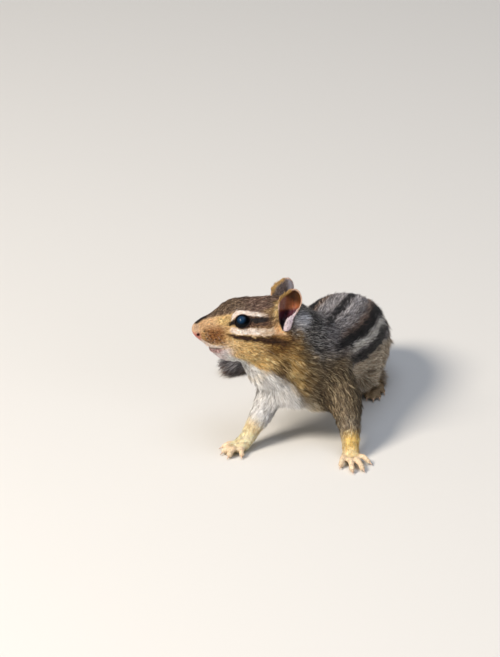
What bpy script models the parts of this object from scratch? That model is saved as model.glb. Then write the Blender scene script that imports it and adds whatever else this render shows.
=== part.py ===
# Eastern chipmunk, life size, alert on all fours with its head turned to its right.
#
# Lengths in the tables are millimetres in the animal's working frame, +Z up and the floor at z = 0.
# The flesh is one union of soft masses, legs, toes and tail, out to the tips of the coat. Thin cuts
# part it into the lengths that a person would name. Eyes and ears are pieces of their own.

import math

import bmesh
import bpy
import numpy as np
from mathutils import Matrix, Vector

mm = 0.001
gap = 0.3  # between neighbouring solids
origin_shift = (2.44, -41.84, 0.0)  # puts the origin under the middle of the whole animal

voxel = 0.6  # of the union of the masses
blend_passes = 110  # where flesh runs into flesh
fine_passes = 3  # everywhere, fingers and muzzle included
flesh_triangles = 2860
section_sides = 28
rings_per_station = 5

# The head's own frame: its nose tip, where it points, and its own upward direction.
nose_tip = Vector((-38.4, 6.9, 44.4))
head_forward = Vector((-0.985, -0.14, -0.06)).normalized()
head_left = Vector((-0.03, 0.2, 0.98)).cross(head_forward).normalized()
head_up = head_forward.cross(head_left)

# Sections of the head: distance behind the nose tip, half width, and the heights of the top,
# the widest line and the underside above the line through the nose.
head_sections = (
    (-0.1, 0.5, 0.4, -0.2, -0.7),
    (0.5, 1.7, 1.5, -0.2, -2.0),
    (2.3, 3.0, 3.0, -0.7, -3.9),
    (4.5, 4.1, 4.2, -1.3, -5.9),
    (6.6, 5.0, 5.4, -1.9, -8.9),
    (9.2, 6.1, 7.4, -2.4, -11.5),
    (12.2, 7.5, 9.1, -2.8, -12.8),
    (15.2, 9.0, 10.0, -3.0, -13.2),
    (19.0, 10.6, 10.1, -3.2, -14.2),
    (23.5, 11.9, 9.9, -3.6, -15.2),
    (28.5, 12.6, 9.5, -3.8, -15.8),
    (33.5, 12.4, 8.6, -3.8, -15.8),
    (38.5, 11.0, 6.4, -3.8, -14.0),
    (42.0, 7.6, 2.8, -3.8, -10.6),
    (43.6, 3.0, -1.2, -3.8, -6.4),
)

# Centre line of the trunk from nape to root of the tail: x, y, z, half width, rise and drop.
trunk_stations = (
    (-9.0, 9.5, 43.5, 7.0, 6.0, 7.0),
    (-6.0, 10.5, 39.5, 11.5, 10.0, 11.5),
    (-2.5, 13.0, 34.5, 14.0, 12.5, 14.0),
    (2.0, 18.0, 31.0, 15.0, 14.0, 15.0),
    (6.3, 26.0, 27.8, 15.6, 13.8, 15.0),
    (10.5, 35.0, 26.0, 16.2, 14.2, 14.5),
    (14.3, 45.0, 24.8, 16.4, 14.6, 15.5),
    (17.2, 55.0, 22.4, 15.6, 14.6, 15.8),
    (19.2, 64.5, 19.2, 14.0, 12.3, 14.2),
    (20.7, 72.5, 17.0, 11.0, 10.3, 11.5),
    (21.0, 77.5, 15.0, 5.0, 4.5, 5.5),
)

# The line of the spine over the hind legs, which the right hind leg mirrors the left one in.
hind_middle = (18.2, 62.0)
hind_heading = (-0.18, -0.984)

# Soft masses beside the trunk's centre line: centre, half sizes, turn about +Z in degrees.
masses = {
    "throat": ((-11.8, 9.5, 32.0), (9.6, 8.5, 10.8), 0),
    "nape": ((0.5, 16.5, 37.0), (12.5, 12.0, 11.0), 0),
    "withers": ((7.0, 25.0, 32.0), (12.5, 12.5, 9.8), 0),
    "chest": ((-1.0, 11.5, 25.0), (12.0, 10.5, 12.8), 0),
    "sternum": ((6.5, 14.5, 20.0), (10.5, 10.5, 10.2), 0),
    "left shoulder": ((9.5, 14.5, 27.0), (9.0, 9.5, 12.0), 0),
    "right shoulder": ((-5.0, 15.5, 26.5), (8.0, 9.0, 11.0), 0),
    "belly": ((13.0, 44.0, 19.0), (13.5, 18.0, 11.5), 0),
    "left thigh": ((24.9, 58.0, 16.8), (8.8, 15.2, 12.8), -6),
    "left knee": ((23.7, 47.0, 11.4), (5.5, 8.5, 6.8), -6),
}
mirrored_masses = ("left thigh", "left knee")
mirrored_turn = -15

# Limbs from the body outwards: x, y, z, half width, rise and drop.
left_foreleg = (
    (9.5, 15.0, 27.0, 7.5, 7.5, 7.5),
    (13.6, 11.5, 20.5, 8.0, 8.0, 8.0),
    (16.7, 6.5, 15.5, 6.7, 6.7, 6.7),
    (17.8, 0.8, 11.0, 4.6, 4.6, 4.6),
    (18.1, -3.2, 6.8, 3.2, 3.1, 3.1),
    (18.2, -6.0, 3.6, 3.0, 2.2, 2.6),
    (18.2, -8.4, 2.0, 3.3, 1.6, 2.3),
    (18.3, -10.6, 1.4, 2.7, 1.1, 1.7),
)
right_foreleg = (
    (-4.0, 15.0, 26.0, 7.2, 7.2, 7.2),
    (-7.8, 13.5, 21.5, 6.8, 6.8, 6.8),
    (-10.6, 10.8, 16.0, 5.7, 5.6, 5.6),
    (-13.6, 7.8, 11.2, 4.4, 4.3, 4.3),
    (-16.5, 4.6, 7.4, 3.1, 3.0, 3.1),
    (-18.7, 2.0, 4.3, 2.9, 2.3, 2.8),
    (-21.0, 0.0, 2.7, 3.2, 1.8, 2.9),
    (-23.2, -1.7, 1.8, 2.8, 1.3, 2.1),
)
left_hind_foot = (
    (25.2, 74.0, 3.6, 2.4, 2.4, 2.8),
    (25.4, 72.2, 3.4, 3.4, 3.4, 3.8),
    (25.9, 65.0, 2.8, 3.3, 2.8, 3.2),
    (26.8, 57.0, 2.5, 3.5, 2.3, 2.9),
    (27.3, 51.0, 2.1, 3.6, 1.8, 2.5),
    (27.6, 47.8, 1.6, 3.0, 1.2, 1.9),
)

# The brush of the tail, on the floor behind the animal and curled to its right.
tail_stations = (
    (20.6, 70.0, 16.5, 4.0, 4.0, 4.0),
    (21.2, 78.0, 13.0, 4.4, 4.2, 4.2),
    (21.4, 84.5, 9.4, 5.0, 4.3, 4.6),
    (19.2, 91.0, 6.2, 6.0, 4.4, 5.8),
    (13.4, 95.6, 4.7, 7.0, 4.4, 5.2),
    (5.3, 96.2, 4.2, 7.6, 4.5, 4.6),
    (-2.6, 91.4, 4.2, 7.9, 4.5, 4.6),
    (-8.8, 83.3, 4.2, 7.9, 4.5, 4.6),
    (-14.0, 75.5, 4.1, 7.6, 4.3, 4.5),
    (-19.2, 70.8, 3.8, 6.8, 3.8, 4.2),
    (-24.2, 67.6, 3.5, 5.7, 3.4, 3.9),
    (-28.4, 65.9, 2.9, 4.0, 2.7, 3.2),
    (-31.6, 65.3, 2.0, 1.6, 1.5, 1.5),
)

# Fingers on the floor plan: knuckle, tip and half width.
left_fingers = (
    ((15.9, -8.4), (14.4, -15.0), 1.15),
    ((17.5, -10.0), (18.6, -18.8), 1.20),
    ((19.3, -10.0), (22.4, -17.6), 1.20),
    ((20.6, -8.0), (24.8, -12.0), 1.10),
)
right_fingers = (
    ((-22.8, 1.4), (-27.6, 0.6), 1.15),
    ((-23.7, -0.3), (-27.4, -3.6), 1.30),
    ((-22.9, -1.9), (-25.3, -6.9), 1.30),
    ((-20.7, -1.6), (-20.7, -6.6), 1.15),
)
left_hind_toes = (
    ((24.6, 52.0), (23.4, 46.2), 1.00),
    ((25.9, 49.0), (25.2, 42.4), 1.10),
    ((27.4, 48.4), (27.5, 41.2), 1.10),
    ((28.9, 49.2), (29.8, 42.6), 1.10),
    ((30.1, 52.4), (31.6, 47.2), 1.00),
)
finger_height = 1.6  # of the finger's middle at its knuckle
finger_tip_height = 0.85
finger_arch = 1.2  # rise of the middle joint over the line from knuckle to tip
claw_length = 2.0
claw_radius = 0.45

eye_place = (17.8, 7.3, 2.25)  # behind the nose, out from the middle, above the nose line
eye_radius = 3.1

# An ear is a cupped oval. Its centre, and the directions to its tip and its rear edge, are in the
# head's frame: behind the nose, out from the middle, above the nose line.
ear_centre = (33.9, 10.7, 6.2)
ear_upward = (0.2, -0.13, 0.97)
ear_rearward = (0.96, 0.16, -0.18)
ear_rise = 6.7
ear_drop = 8.2
ear_half_width = 4.6
ear_taper = 0.22  # how much narrower below than above
ear_slant = 0.6  # how far the upper front edge is cut back towards the tip
ear_cup = 3.2
ear_thickness = 0.9

coat_roughness = 0.85
colours = {
    "head": (0.30, 0.19, 0.09),
    "neck": (0.34, 0.22, 0.10),
    "trunk": (0.17, 0.14, 0.11),
    "foreleg": (0.30, 0.23, 0.13),
    "forefoot": (0.60, 0.42, 0.20),
    "hindleg": (0.25, 0.19, 0.12),
    "hindfoot": (0.50, 0.33, 0.18),
    "tail": (0.12, 0.10, 0.08),
    "ear": (0.48, 0.30, 0.18),
    "eye": (0.004, 0.004, 0.006),
}


def head_point(behind, left, above):
    """A place in the head's own frame as a point in millimetres."""
    return nose_tip - head_forward * behind + head_left * left + head_up * above


def head_direction(behind, left, above):
    return (head_left * left + head_up * above - head_forward * behind).normalized()


def collection_named(name, hidden=False):
    made = bpy.data.collections.new(name)
    bpy.context.scene.collection.children.link(made)
    made.hide_render = hidden
    return made


def material_named(name, colour, roughness):
    made = bpy.data.materials.new(name)
    made.use_nodes = True
    surface = made.node_tree.nodes["Principled BSDF"]
    surface.inputs["Base Color"].default_value = (*colour, 1)
    surface.inputs["Roughness"].default_value = roughness
    surface.inputs["Metallic"].default_value = 0
    return made


def add_object(name, form, collection):
    """Turns a bmesh in millimetres into an object in metres at the origin."""
    bmesh.ops.recalc_face_normals(form, faces=form.faces)
    form.transform(Matrix.Translation(Vector(origin_shift) * mm) @ Matrix.Scale(mm, 4))
    mesh = bpy.data.meshes.new(name)
    form.to_mesh(mesh)
    form.free()
    made = bpy.data.objects.new(name, mesh)
    collection.objects.link(made)
    return made


def smooth_rows(rows, steps):
    """Rows of a table carried smoothly between stations by a Catmull-Rom spline."""
    table = np.array(rows, float)
    padded = np.vstack([2 * table[0] - table[1], table, 2 * table[-1] - table[-2]])
    t = np.linspace(0, 1, steps, endpoint=False)[:, None]
    pieces = []
    for first in range(len(table) - 1):
        a, b, c, d = padded[first : first + 4]
        curve = (
            2 * b
            + (c - a) * t
            + (2 * a - 5 * b + 4 * c - d) * t**2
            + (3 * b - a - 3 * c + d) * t**3
        )
        pieces.append(curve / 2)
    return np.vstack([*pieces, table[-1:]])


def skin_rings(form, rings):
    """Joins closed rings of points end to end and closes both ends with a point."""
    rows = [[form.verts.new(point) for point in ring] for ring in rings]
    count = len(rows[0])
    for row, following in zip(rows, rows[1:]):
        for i in range(count):
            j = (i + 1) % count
            form.faces.new((row[i], row[j], following[j], following[i]))
    for row in (rows[0], rows[-1]):
        middle = form.verts.new(sum((v.co for v in row), Vector()) / count)
        for i in range(count):
            form.faces.new((middle, row[i], row[(i + 1) % count]))


def add_tube(form, stations, sides=section_sides, steps=rings_per_station, inset=0):
    """A soft tube: an egg-shaped section at each station, square to the centre line. The inset
    makes it smaller all round and at both ends."""
    table = smooth_rows(stations, steps)
    centres = table[:, :3]
    half, rise, drop = table[:, 3:].T - inset
    along = np.gradient(centres, axis=0)
    along /= np.linalg.norm(along, axis=1)[:, None]
    centres[[0, -1]] += along[[0, -1]] * [[inset], [-inset]]
    across = np.cross(along, (0.0, 0.0, 1.0))
    across /= np.linalg.norm(across, axis=1)[:, None]
    over = np.cross(across, along)
    turn = np.linspace(0, math.tau, sides, endpoint=False)
    wide = np.cos(turn)[None, :] * half[:, None]
    high = np.sin(turn)[None, :] * np.where(np.sin(turn) > 0, rise[:, None], drop[:, None])
    rings = centres[:, None] + wide[..., None] * across[:, None] + high[..., None] * over[:, None]
    skin_rings(form, rings.tolist())


def add_head(form):
    """The head: egg-shaped sections along the line from the nose tip to the nape."""
    rings = []
    for behind, half, top, middle, bottom in smooth_rows(head_sections, rings_per_station):
        ring = []
        for i in range(section_sides):
            turn = math.tau * i / section_sides
            reach = top - middle if math.sin(turn) > 0 else middle - bottom
            ring.append(head_point(behind, half * math.cos(turn), middle + reach * math.sin(turn)))
        rings.append(ring)
    skin_rings(form, rings)


def add_mass(form, centre, halves, turn, sides=32):
    place = (
        Matrix.Translation(centre)
        @ Matrix.Rotation(math.radians(turn), 4, "Z")
        @ Matrix.Diagonal((*halves, 1))
    )
    bmesh.ops.create_uvsphere(form, u_segments=sides, v_segments=sides // 2, radius=1, matrix=place)


def finger_stations(knuckle, tip, half):
    """A finger as a low arch from its knuckle to its tip, with a pad under the tip."""
    start = Vector((*knuckle, finger_height))
    end = Vector((*tip, finger_tip_height))
    back = start - (end - start) * 0.3
    rows = [(*back, half, half, half)]
    for share, swell in ((0.0, 1.05), (0.3, 1.0), (0.62, 0.92), (0.88, 1.0)):
        place = start.lerp(end, share)
        lift = finger_arch * math.sin(math.pi * share)
        rows.append((place.x, place.y, place.z + lift, half * swell, half * swell, half * swell))
    rows.append((*end, half * 0.5, half * 0.5, half * 0.5))
    return rows


def claw_stations(knuckle, tip):
    """A curved claw that leaves the finger's tip and comes down to the floor."""
    ahead = (Vector(tip) - Vector(knuckle)).normalized()
    rows = []
    for share in (-0.4, 0.0, 0.4, 0.75, 1.0):
        place = Vector(tip) + ahead * (claw_length * share - 0.7)
        height = 1.25 - 0.75 * max(share, 0) ** 2
        radius = claw_radius * (1 - 0.7 * max(share, 0))
        rows.append((place.x, place.y, height, radius, radius * 1.2, radius * 1.2))
    return rows


def mirrored(x, y):
    """A place on the floor plan on the other side of the line of the spine."""
    heading = Vector(hind_heading).normalized()
    offset = Vector((x, y)) - Vector(hind_middle)
    return tuple(Vector(hind_middle) + 2 * heading * offset.dot(heading) - offset)


right_hind_foot = tuple((*mirrored(*row[:2]), *row[2:]) for row in left_hind_foot)
right_hind_toes = tuple((mirrored(*k), mirrored(*t), half) for k, t, half in left_hind_toes)
feet = {
    "forefoot_left": left_fingers,
    "forefoot_right": right_fingers,
    "hindfoot_left": left_hind_toes,
    "hindfoot_right": right_hind_toes,
}


def applied(source, name, collection):
    """A plain mesh object of what the source's modifiers give. The source is removed."""
    graph = bpy.context.evaluated_depsgraph_get()
    mesh = bpy.data.meshes.new_from_object(source.evaluated_get(graph))
    old = source.data
    bpy.data.objects.remove(source)
    bpy.data.meshes.remove(old)
    mesh.name = name
    made = bpy.data.objects.new(name, mesh)
    collection.objects.link(made)
    return made


def ramp(values, low, high):
    """0 below low, 1 above high, and a smooth rise between."""
    share = np.clip((values - low) / (high - low), 0, 1)
    return share * share * (3 - 2 * share)


def blend_flesh(mesh):
    """Evens out the creases where masses meet: strongly on the body, hardly at all on
    muzzle, fingers and tail."""
    count = len(mesh.vertices)
    places = np.empty(count * 3, np.float32)
    mesh.vertices.foreach_get("co", places)
    places = places.reshape(-1, 3).astype(float)
    ends = np.empty(len(mesh.edges) * 2, np.int32)
    mesh.edges.foreach_get("vertices", ends)
    first, second = ends.reshape(-1, 2).T
    neighbours = np.bincount(ends, minlength=count)[:, None]
    local = places / mm - np.array(origin_shift)
    behind_nose = -(local - np.array(nose_tip)) @ np.array(head_forward)
    on_head = ramp(local[:, 2], 30, 34) * ramp(-local[:, 1], -28, -22)
    body = ramp(local[:, 2], 7, 15) * (1 - on_head * (1 - ramp(behind_nose, 15, 26)))
    for number in range(blend_passes + fine_passes):
        total = np.empty_like(places)
        for axis in range(3):
            total[:, axis] = np.bincount(first, places[second, axis], count)
            total[:, axis] += np.bincount(second, places[first, axis], count)
        share = 0.5 if number < fine_passes else 0.5 * body[:, None]
        places += share * (total / neighbours - places)
    mesh.vertices.foreach_set("co", places.astype(np.float32).ravel())
    mesh.update()


def build_flesh(collection):
    """The whole animal as one closed skin out to the tips of its coat."""
    form = bmesh.new()
    add_head(form)
    add_tube(form, trunk_stations)
    for centre, halves, turn in masses.values():
        add_mass(form, centre, halves, turn)
    for name in mirrored_masses:
        centre, halves, _ = masses[name]
        add_mass(form, (*mirrored(*centre[:2]), centre[2]), halves, mirrored_turn)
    for limb in (left_foreleg, right_foreleg, left_hind_foot, right_hind_foot, tail_stations):
        add_tube(form, limb)
    for fingers in feet.values():
        for finger in fingers:
            add_tube(form, finger_stations(*finger), sides=12)
    flesh = add_object("masses", form, collection)
    union = flesh.modifiers.new("union", "REMESH")
    union.mode = "VOXEL"
    union.voxel_size = voxel * mm
    flesh = applied(flesh, "flesh", collection)
    blend_flesh(flesh.data)
    thin = flesh.modifiers.new("facets", "DECIMATE")
    thin.ratio = flesh_triangles / (2 * len(flesh.data.polygons))
    thin.use_collapse_triangulate = True
    return applied(flesh, "trunk", collection)


def add_box(form, face, heading, depth, half, upward=(0, 0, 1)):
    """A box whose face is centred on a point, square to the heading, and reaches back from it."""
    ahead = Vector(heading).normalized()
    side = ahead.cross(Vector(upward)).normalized()
    over = side.cross(ahead)
    turned = Matrix((side, over, ahead)).transposed().to_4x4()
    place = (
        Matrix.Translation(Vector(face) - ahead * (depth / 2))
        @ turned
        @ Matrix.Diagonal((2 * half[0], 2 * half[1], depth, 1))
    )
    bmesh.ops.create_cube(form, size=1, matrix=place)


def box_cell(face, heading, depth, half, upward=(0, 0, 1)):
    """The space of one named length. The inner one is smaller by the gap on every side."""

    def build(form, inset):
        ahead = Vector(heading).normalized()
        moved = Vector(face) - ahead * inset
        add_box(form, moved, heading, depth - 2 * inset, [value - inset for value in half], upward)

    return build


def tube_cell(stations):
    """The space of one limb: x, y, z and radius at each station."""
    rows = [(*row, row[3], row[3]) for row in stations]

    def build(form, inset):
        add_tube(form, rows, sides=12, steps=1, inset=inset)

    return build


def mass_cell(centre, halves, turn):
    def build(form, inset):
        add_mass(form, centre, [value - inset for value in halves], turn, sides=16)

    return build


head_back_heading = head_direction(0.864, 0, -0.504)
left_thigh_cell = ((28.0, 58.5, 14.5), (9.5, 18.0, 15.5))

# The spaces that part the flesh, in the order in which they are taken out of it.
cells = {
    "head": box_cell(head_point(35.5, 0, -3), head_back_heading, 60, (22, 21), head_up),
    "neck": box_cell((-1, 14, 35), (0.35, 0.45, -0.82), 34, (24, 24)),
    "forefoot_left": box_cell((18.2, -4.6, 5.6), (0, 0.55, 0.84), 20, (13, 11)),
    "forefoot_right": box_cell((-18.9, 2.9, 5.4), (0.5, 0.5, 0.75), 20, (11, 12)),
    "foreleg_left": tube_cell((
        (11.5, 15.5, 31.5, 3.0),
        (12.0, 15.0, 29.0, 7.5),
        (15.5, 11.5, 20.0, 9.3),
        (18.0, 5.5, 13.5, 8.0),
        (18.5, -3.0, 6.0, 6.5),
        (18.5, -8.0, 1.0, 6.0),
    )),
    "foreleg_right": tube_cell((
        (-7.5, 15.5, 31.0, 3.0),
        (-8.0, 15.2, 28.5, 7.0),
        (-10.5, 13.0, 20.5, 8.0),
        (-14.0, 9.5, 13.5, 7.0),
        (-18.3, 3.8, 6.0, 6.0),
        (-21.0, 0.5, 1.0, 6.0),
    )),
    "tail_tip": box_cell((-12.2, 78.5, 5), (0.55, 0.83, 0), 42, (13, 12)),
    "tail_middle": box_cell((16.0, 94.4, 0), (0.93, 0.3, 0), 46, (13, 10.5)),
    "tail_base": box_cell((21.0, 76.8, 14.0), (-0.03, -0.86, 0.5), 34, (16, 16)),
    "hindfoot_left": box_cell((27, 57, 6.2), (0, 0, 1), 12, (9, 24), (0, 1, 0)),
    "hindfoot_right": box_cell((6, 60, 6.2), (0, 0, 1), 12, (10.5, 24), (0, 1, 0)),
    "hindleg_left": mass_cell(*left_thigh_cell, -6),
    "hindleg_right": mass_cell(
        (*mirrored(*left_thigh_cell[0][:2]), left_thigh_cell[0][2]),
        left_thigh_cell[1],
        mirrored_turn,
    ),
}


def cutter_from(name, build, collection):
    """A closed helper solid. Its builder fills a bmesh in millimetres."""
    form = bmesh.new()
    build(form)
    bmesh.ops.triangulate(form, faces=form.faces, quad_method="FIXED")
    made = add_object(name, form, collection)
    made.display_type = "WIRE"
    made.hide_render = True
    return made


def boolean(target, other, operation):
    step = target.modifiers.new(operation.lower() + " " + other.name, "BOOLEAN")
    step.operation = operation
    step.object = other
    step.solver = "EXACT"


def keep_largest_body(mesh):
    """Drops the crumbs that a cut along a curved face can leave."""
    form = bmesh.new()
    form.from_mesh(mesh)
    left = set(form.verts)
    bodies = []
    while left:
        front = [left.pop()]
        body = list(front)
        while front:
            vertex = front.pop()
            for edge in vertex.link_edges:
                other = edge.other_vert(vertex)
                if other in left:
                    left.remove(other)
                    front.append(other)
                    body.append(other)
        bodies.append(body)
    bodies.sort(key=len)
    for body in bodies[:-1]:
        bmesh.ops.delete(form, geom=body, context="VERTS")
    form.to_mesh(mesh)
    form.free()
    return len(bodies)


def part_flesh(flesh, animal, helpers):
    """Parts the flesh into its named lengths with thin cuts. What is left is the trunk."""
    pieces = {}
    for name, build in cells.items():
        outer = cutter_from(name + " outer", lambda form, b=build: b(form, 0), helpers)
        inner = cutter_from(name + " inner", lambda form, b=build: b(form, gap), helpers)
        piece = flesh.copy()
        piece.data = flesh.data.copy()
        animal.objects.link(piece)
        boolean(piece, inner, "INTERSECT")
        pieces[name] = applied(piece, name, animal)
        boolean(flesh, outer, "DIFFERENCE")
        flesh = applied(flesh, "trunk", animal)
        keep_largest_body(pieces[name].data)
        bpy.data.objects.remove(outer)
        bpy.data.objects.remove(inner)
    keep_largest_body(flesh.data)
    pieces["trunk"] = flesh
    return pieces


def ear_surface(side, depth, grow=0.0, rings=5, sides=20):
    """Points of the ear's oval, ring by ring from the middle out. Depth gives how far each ring
    stands out of the plane of the rim, towards the opening."""
    upward = head_direction(ear_upward[0], side * ear_upward[1], ear_upward[2])
    rearward = head_direction(ear_rearward[0], side * ear_rearward[1], ear_rearward[2])
    outward = rearward.cross(upward).normalized() * side
    rearward = upward.cross(outward) * side
    centre = head_point(ear_centre[0], side * ear_centre[1], ear_centre[2])
    rows = []
    for ring in range(1, rings + 1):
        share = ring / rings
        row = []
        for i in range(sides):
            turn = math.tau * i / sides
            reach = ear_rise if math.sin(turn) > 0 else ear_drop
            wide = (ear_half_width * (1 + ear_taper * math.sin(turn)) + grow) * math.cos(turn)
            wide *= 1 - ear_slant * max(math.sin(turn), 0) * max(-math.cos(turn), 0)
            high = (reach + grow) * math.sin(turn)
            row.append(centre + (rearward * wide + upward * high) * share + outward * depth(share))
        rows.append(row)
    return centre + outward * depth(0), rows


def add_ear_form(form, side, front, back, grow=0.0):
    """A closed solid between two dished ovals that share a rim."""
    rims = []
    for depth in (front, back):
        middle, rows = ear_surface(side, depth, grow)
        points = [[form.verts.new(point) for point in row] for row in rows]
        pole = form.verts.new(middle)
        count = len(points[0])
        for i in range(count):
            j = (i + 1) % count
            form.faces.new((pole, points[0][i], points[0][j]))
            for row, following in zip(points, points[1:]):
                form.faces.new((row[i], row[j], following[j], following[i]))
        rims.append(points[-1])
    for i in range(len(rims[0])):
        j = (i + 1) % len(rims[0])
        form.faces.new((rims[0][i], rims[0][j], rims[1][j], rims[1][i]))


def ear_dish(share):
    return -ear_cup * (1 - share**2.4)


def build_ear(name, side, animal):
    form = bmesh.new()
    half = ear_thickness / 2
    add_ear_form(form, side, lambda r: ear_dish(r) + half, lambda r: ear_dish(r) - half)
    return add_object(name, form, animal)


def ear_recess(side):
    """The room that the head leaves for an ear and its hollow."""
    low = ear_thickness / 2 + gap
    return lambda form: add_ear_form(form, side, lambda r: 1.5, lambda r: ear_dish(r) - low, gap)


def ball(side, radius):
    place = Matrix.Translation(head_point(eye_place[0], side * eye_place[1], eye_place[2]))
    return lambda form: bmesh.ops.create_icosphere(form, subdivisions=3, radius=radius, matrix=place)


def build_eye(name, side, animal):
    form = bmesh.new()
    ball(side, eye_radius)(form)
    return add_object(name, form, animal)


def add_claws(foot, fingers, helpers, animal):
    form = bmesh.new()
    for knuckle, tip, _ in fingers:
        add_tube(form, claw_stations(knuckle, tip), sides=6, steps=1)
    claws = add_object(foot.name + " claws", form, helpers)
    name = foot.name
    boolean(foot, claws, "UNION")
    made = applied(foot, name, animal)
    bpy.data.objects.remove(claws)
    keep_largest_body(made.data)
    return made


def main():
    for left_over in list(bpy.data.objects):
        bpy.data.objects.remove(left_over)
    animal = collection_named("Chipmunk")
    helpers = collection_named("Cutters", hidden=True)

    flesh = build_flesh(helpers)
    floor = cutter_from(
        "floor", lambda form: add_box(form, (0, 45, 0), (0, 0, 1), 30, (90, 90), (0, 1, 0)), helpers
    )
    boolean(flesh, floor, "DIFFERENCE")
    flesh = applied(flesh, "trunk", animal)
    pieces = part_flesh(flesh, animal, helpers)
    for name, fingers in feet.items():
        pieces[name] = add_claws(pieces[name], fingers, helpers, animal)

    head = pieces["head"]
    for side, word in ((1, "left"), (-1, "right")):
        socket = cutter_from("socket " + word, ball(side, eye_radius + gap), helpers)
        recess = cutter_from("recess " + word, ear_recess(side), helpers)
        boolean(head, socket, "DIFFERENCE")
        boolean(head, recess, "DIFFERENCE")
        pieces["eye_" + word] = build_eye("eye_" + word, side, animal)
        pieces["ear_" + word] = build_ear("ear_" + word, side, animal)
    pieces["head"] = applied(head, "head", animal)
    keep_largest_body(pieces["head"].data)

    materials = {kind: material_named(kind, colour, 0.08 if kind == "eye" else coat_roughness)
                 for kind, colour in colours.items()}
    for name, piece in pieces.items():
        piece.data.materials.append(materials[name.split("_")[0]])
        piece.data.shade_smooth()
    for helper in list(helpers.objects):
        bpy.data.objects.remove(helper)
    bpy.data.collections.remove(helpers)


main()
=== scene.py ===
import math

import bmesh
import bpy
import numpy as np
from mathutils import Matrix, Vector


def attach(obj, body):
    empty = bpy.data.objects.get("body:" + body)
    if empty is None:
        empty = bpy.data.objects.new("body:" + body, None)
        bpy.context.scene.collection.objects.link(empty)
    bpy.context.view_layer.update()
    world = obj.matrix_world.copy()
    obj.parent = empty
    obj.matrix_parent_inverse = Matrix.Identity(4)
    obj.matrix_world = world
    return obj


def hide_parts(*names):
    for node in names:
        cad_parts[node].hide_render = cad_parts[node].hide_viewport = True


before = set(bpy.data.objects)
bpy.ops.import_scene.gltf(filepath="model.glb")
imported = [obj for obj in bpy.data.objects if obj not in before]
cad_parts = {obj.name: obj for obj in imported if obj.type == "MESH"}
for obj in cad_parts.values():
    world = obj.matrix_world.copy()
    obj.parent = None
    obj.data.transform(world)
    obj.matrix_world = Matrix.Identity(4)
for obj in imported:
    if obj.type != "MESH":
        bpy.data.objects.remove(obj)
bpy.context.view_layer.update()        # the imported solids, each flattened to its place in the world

# Worked out in millimetres in the animal's own frame: +Z up, floor at z = 0, +X to its left, +Y to
# its rump. originShift then puts every point where the imported solids are.
originShift = np.array([2.44, -41.84, 0.0])
chance = np.random.default_rng(31)
sideWords = ((1, "left"), (-1, "right"))


def unit(values):
    # values divided by their own length
    values = np.asarray(values, float)
    return values / np.maximum(np.linalg.norm(values, axis=-1, keepdims=True), 1e-9)


def ramp(values, low, high):
    # 0 below low, 1 above high, 3t^2 - 2t^3 between
    t = np.clip((values - low) / (high - low), 0, 1)
    return t * t * (3 - 2 * t)


def fall(values, low, high):
    # 1 below low, 0 above high
    return 1 - ramp(values, low, high)


def bump(values, middle, half):
    # 1 at the middle, a bell that is down to a third one half width away
    return np.exp(-(((values - middle) / half) ** 2))


def spot(x, y, middle, halves, power=2):
    # the same bell in two directions; a higher power gives a flatter top
    return np.exp(-(((x - middle[0]) / halves[0]) ** power + ((y - middle[1]) / halves[1]) ** power))


def mix(a, b, share):
    # from a to b in a straight line
    return a + (b - a) * share


def cosSin(degrees):
    return math.cos(math.radians(degrees)), math.sin(math.radians(degrees))


def smoothRows(rows, steps):
    # Catmull-Rom: each span is the cubic through its two stations with their neighbours' slopes
    rows = np.array(rows, float)
    t = np.linspace(0, len(rows) - 1, (len(rows) - 1) * steps + 1)
    i = np.minimum(t.astype(int), len(rows) - 2)
    f = (t - i)[:, None]
    padded = np.vstack([2 * rows[0] - rows[1], rows, 2 * rows[-1] - rows[-2]])
    a, b, c, d = padded[i], padded[i + 1], padded[i + 2], padded[i + 3]
    return (2 * b + (c - a) * f + (2 * a - 5 * b + 4 * c - d) * f**2
            + (3 * b - a - 3 * c + d) * f**3) / 2


def ringTriangles(rows, count):
    # two triangles for each cell of a grid whose rows close on themselves
    i, j = np.meshgrid(np.arange(rows - 1), np.arange(count), indexing="ij")
    a, b = i * count + j, i * count + (j + 1) % count
    return np.stack([a, a + count, b, b, a + count, b + count], -1).reshape(-1, 3)


def closedGrid(rings):
    # closed rings joined end to end, with a point in the middle of both end rings
    rows, count = rings.shape[:2]
    points = np.vstack([rings.reshape(-1, 3), rings[0].mean(0)[None], rings[-1].mean(0)[None]])
    j = np.arange(count)
    k = (j + 1) % count
    first = np.stack([np.full(count, rows * count), j, k], -1)
    last = np.stack([np.full(count, rows * count + 1), k + (rows - 1) * count,
                     j + (rows - 1) * count], -1)
    return points, np.vstack([ringTriangles(rows, count), first, last])


def pathFrames(centres):
    # direction along the path, level direction across it, and the one square to both
    along = unit(np.gradient(centres, axis=0))
    across = unit(np.cross(along, (0.0, 0.0, 1.0)))
    return along, across, np.cross(across, along)


def tube(rows, steps=6, sides=28, coat=0.0):
    # an egg-shaped section at each station: x, y, z, half width, rise, drop, all less the coat
    table = smoothRows(rows, steps)
    centres = table[:, :3]
    half, rise, drop = np.maximum(table[:, 3:6].T - coat, 0.008)
    along, across, over = pathFrames(centres)
    turn = np.linspace(0, math.tau, sides, endpoint=False)
    wide = np.cos(turn) * half[:, None]
    high = np.sin(turn) * np.where(np.sin(turn) > 0, rise[:, None], drop[:, None])
    return closedGrid(centres[:, None] + wide[..., None] * across[:, None]
                      + high[..., None] * over[:, None])


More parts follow.
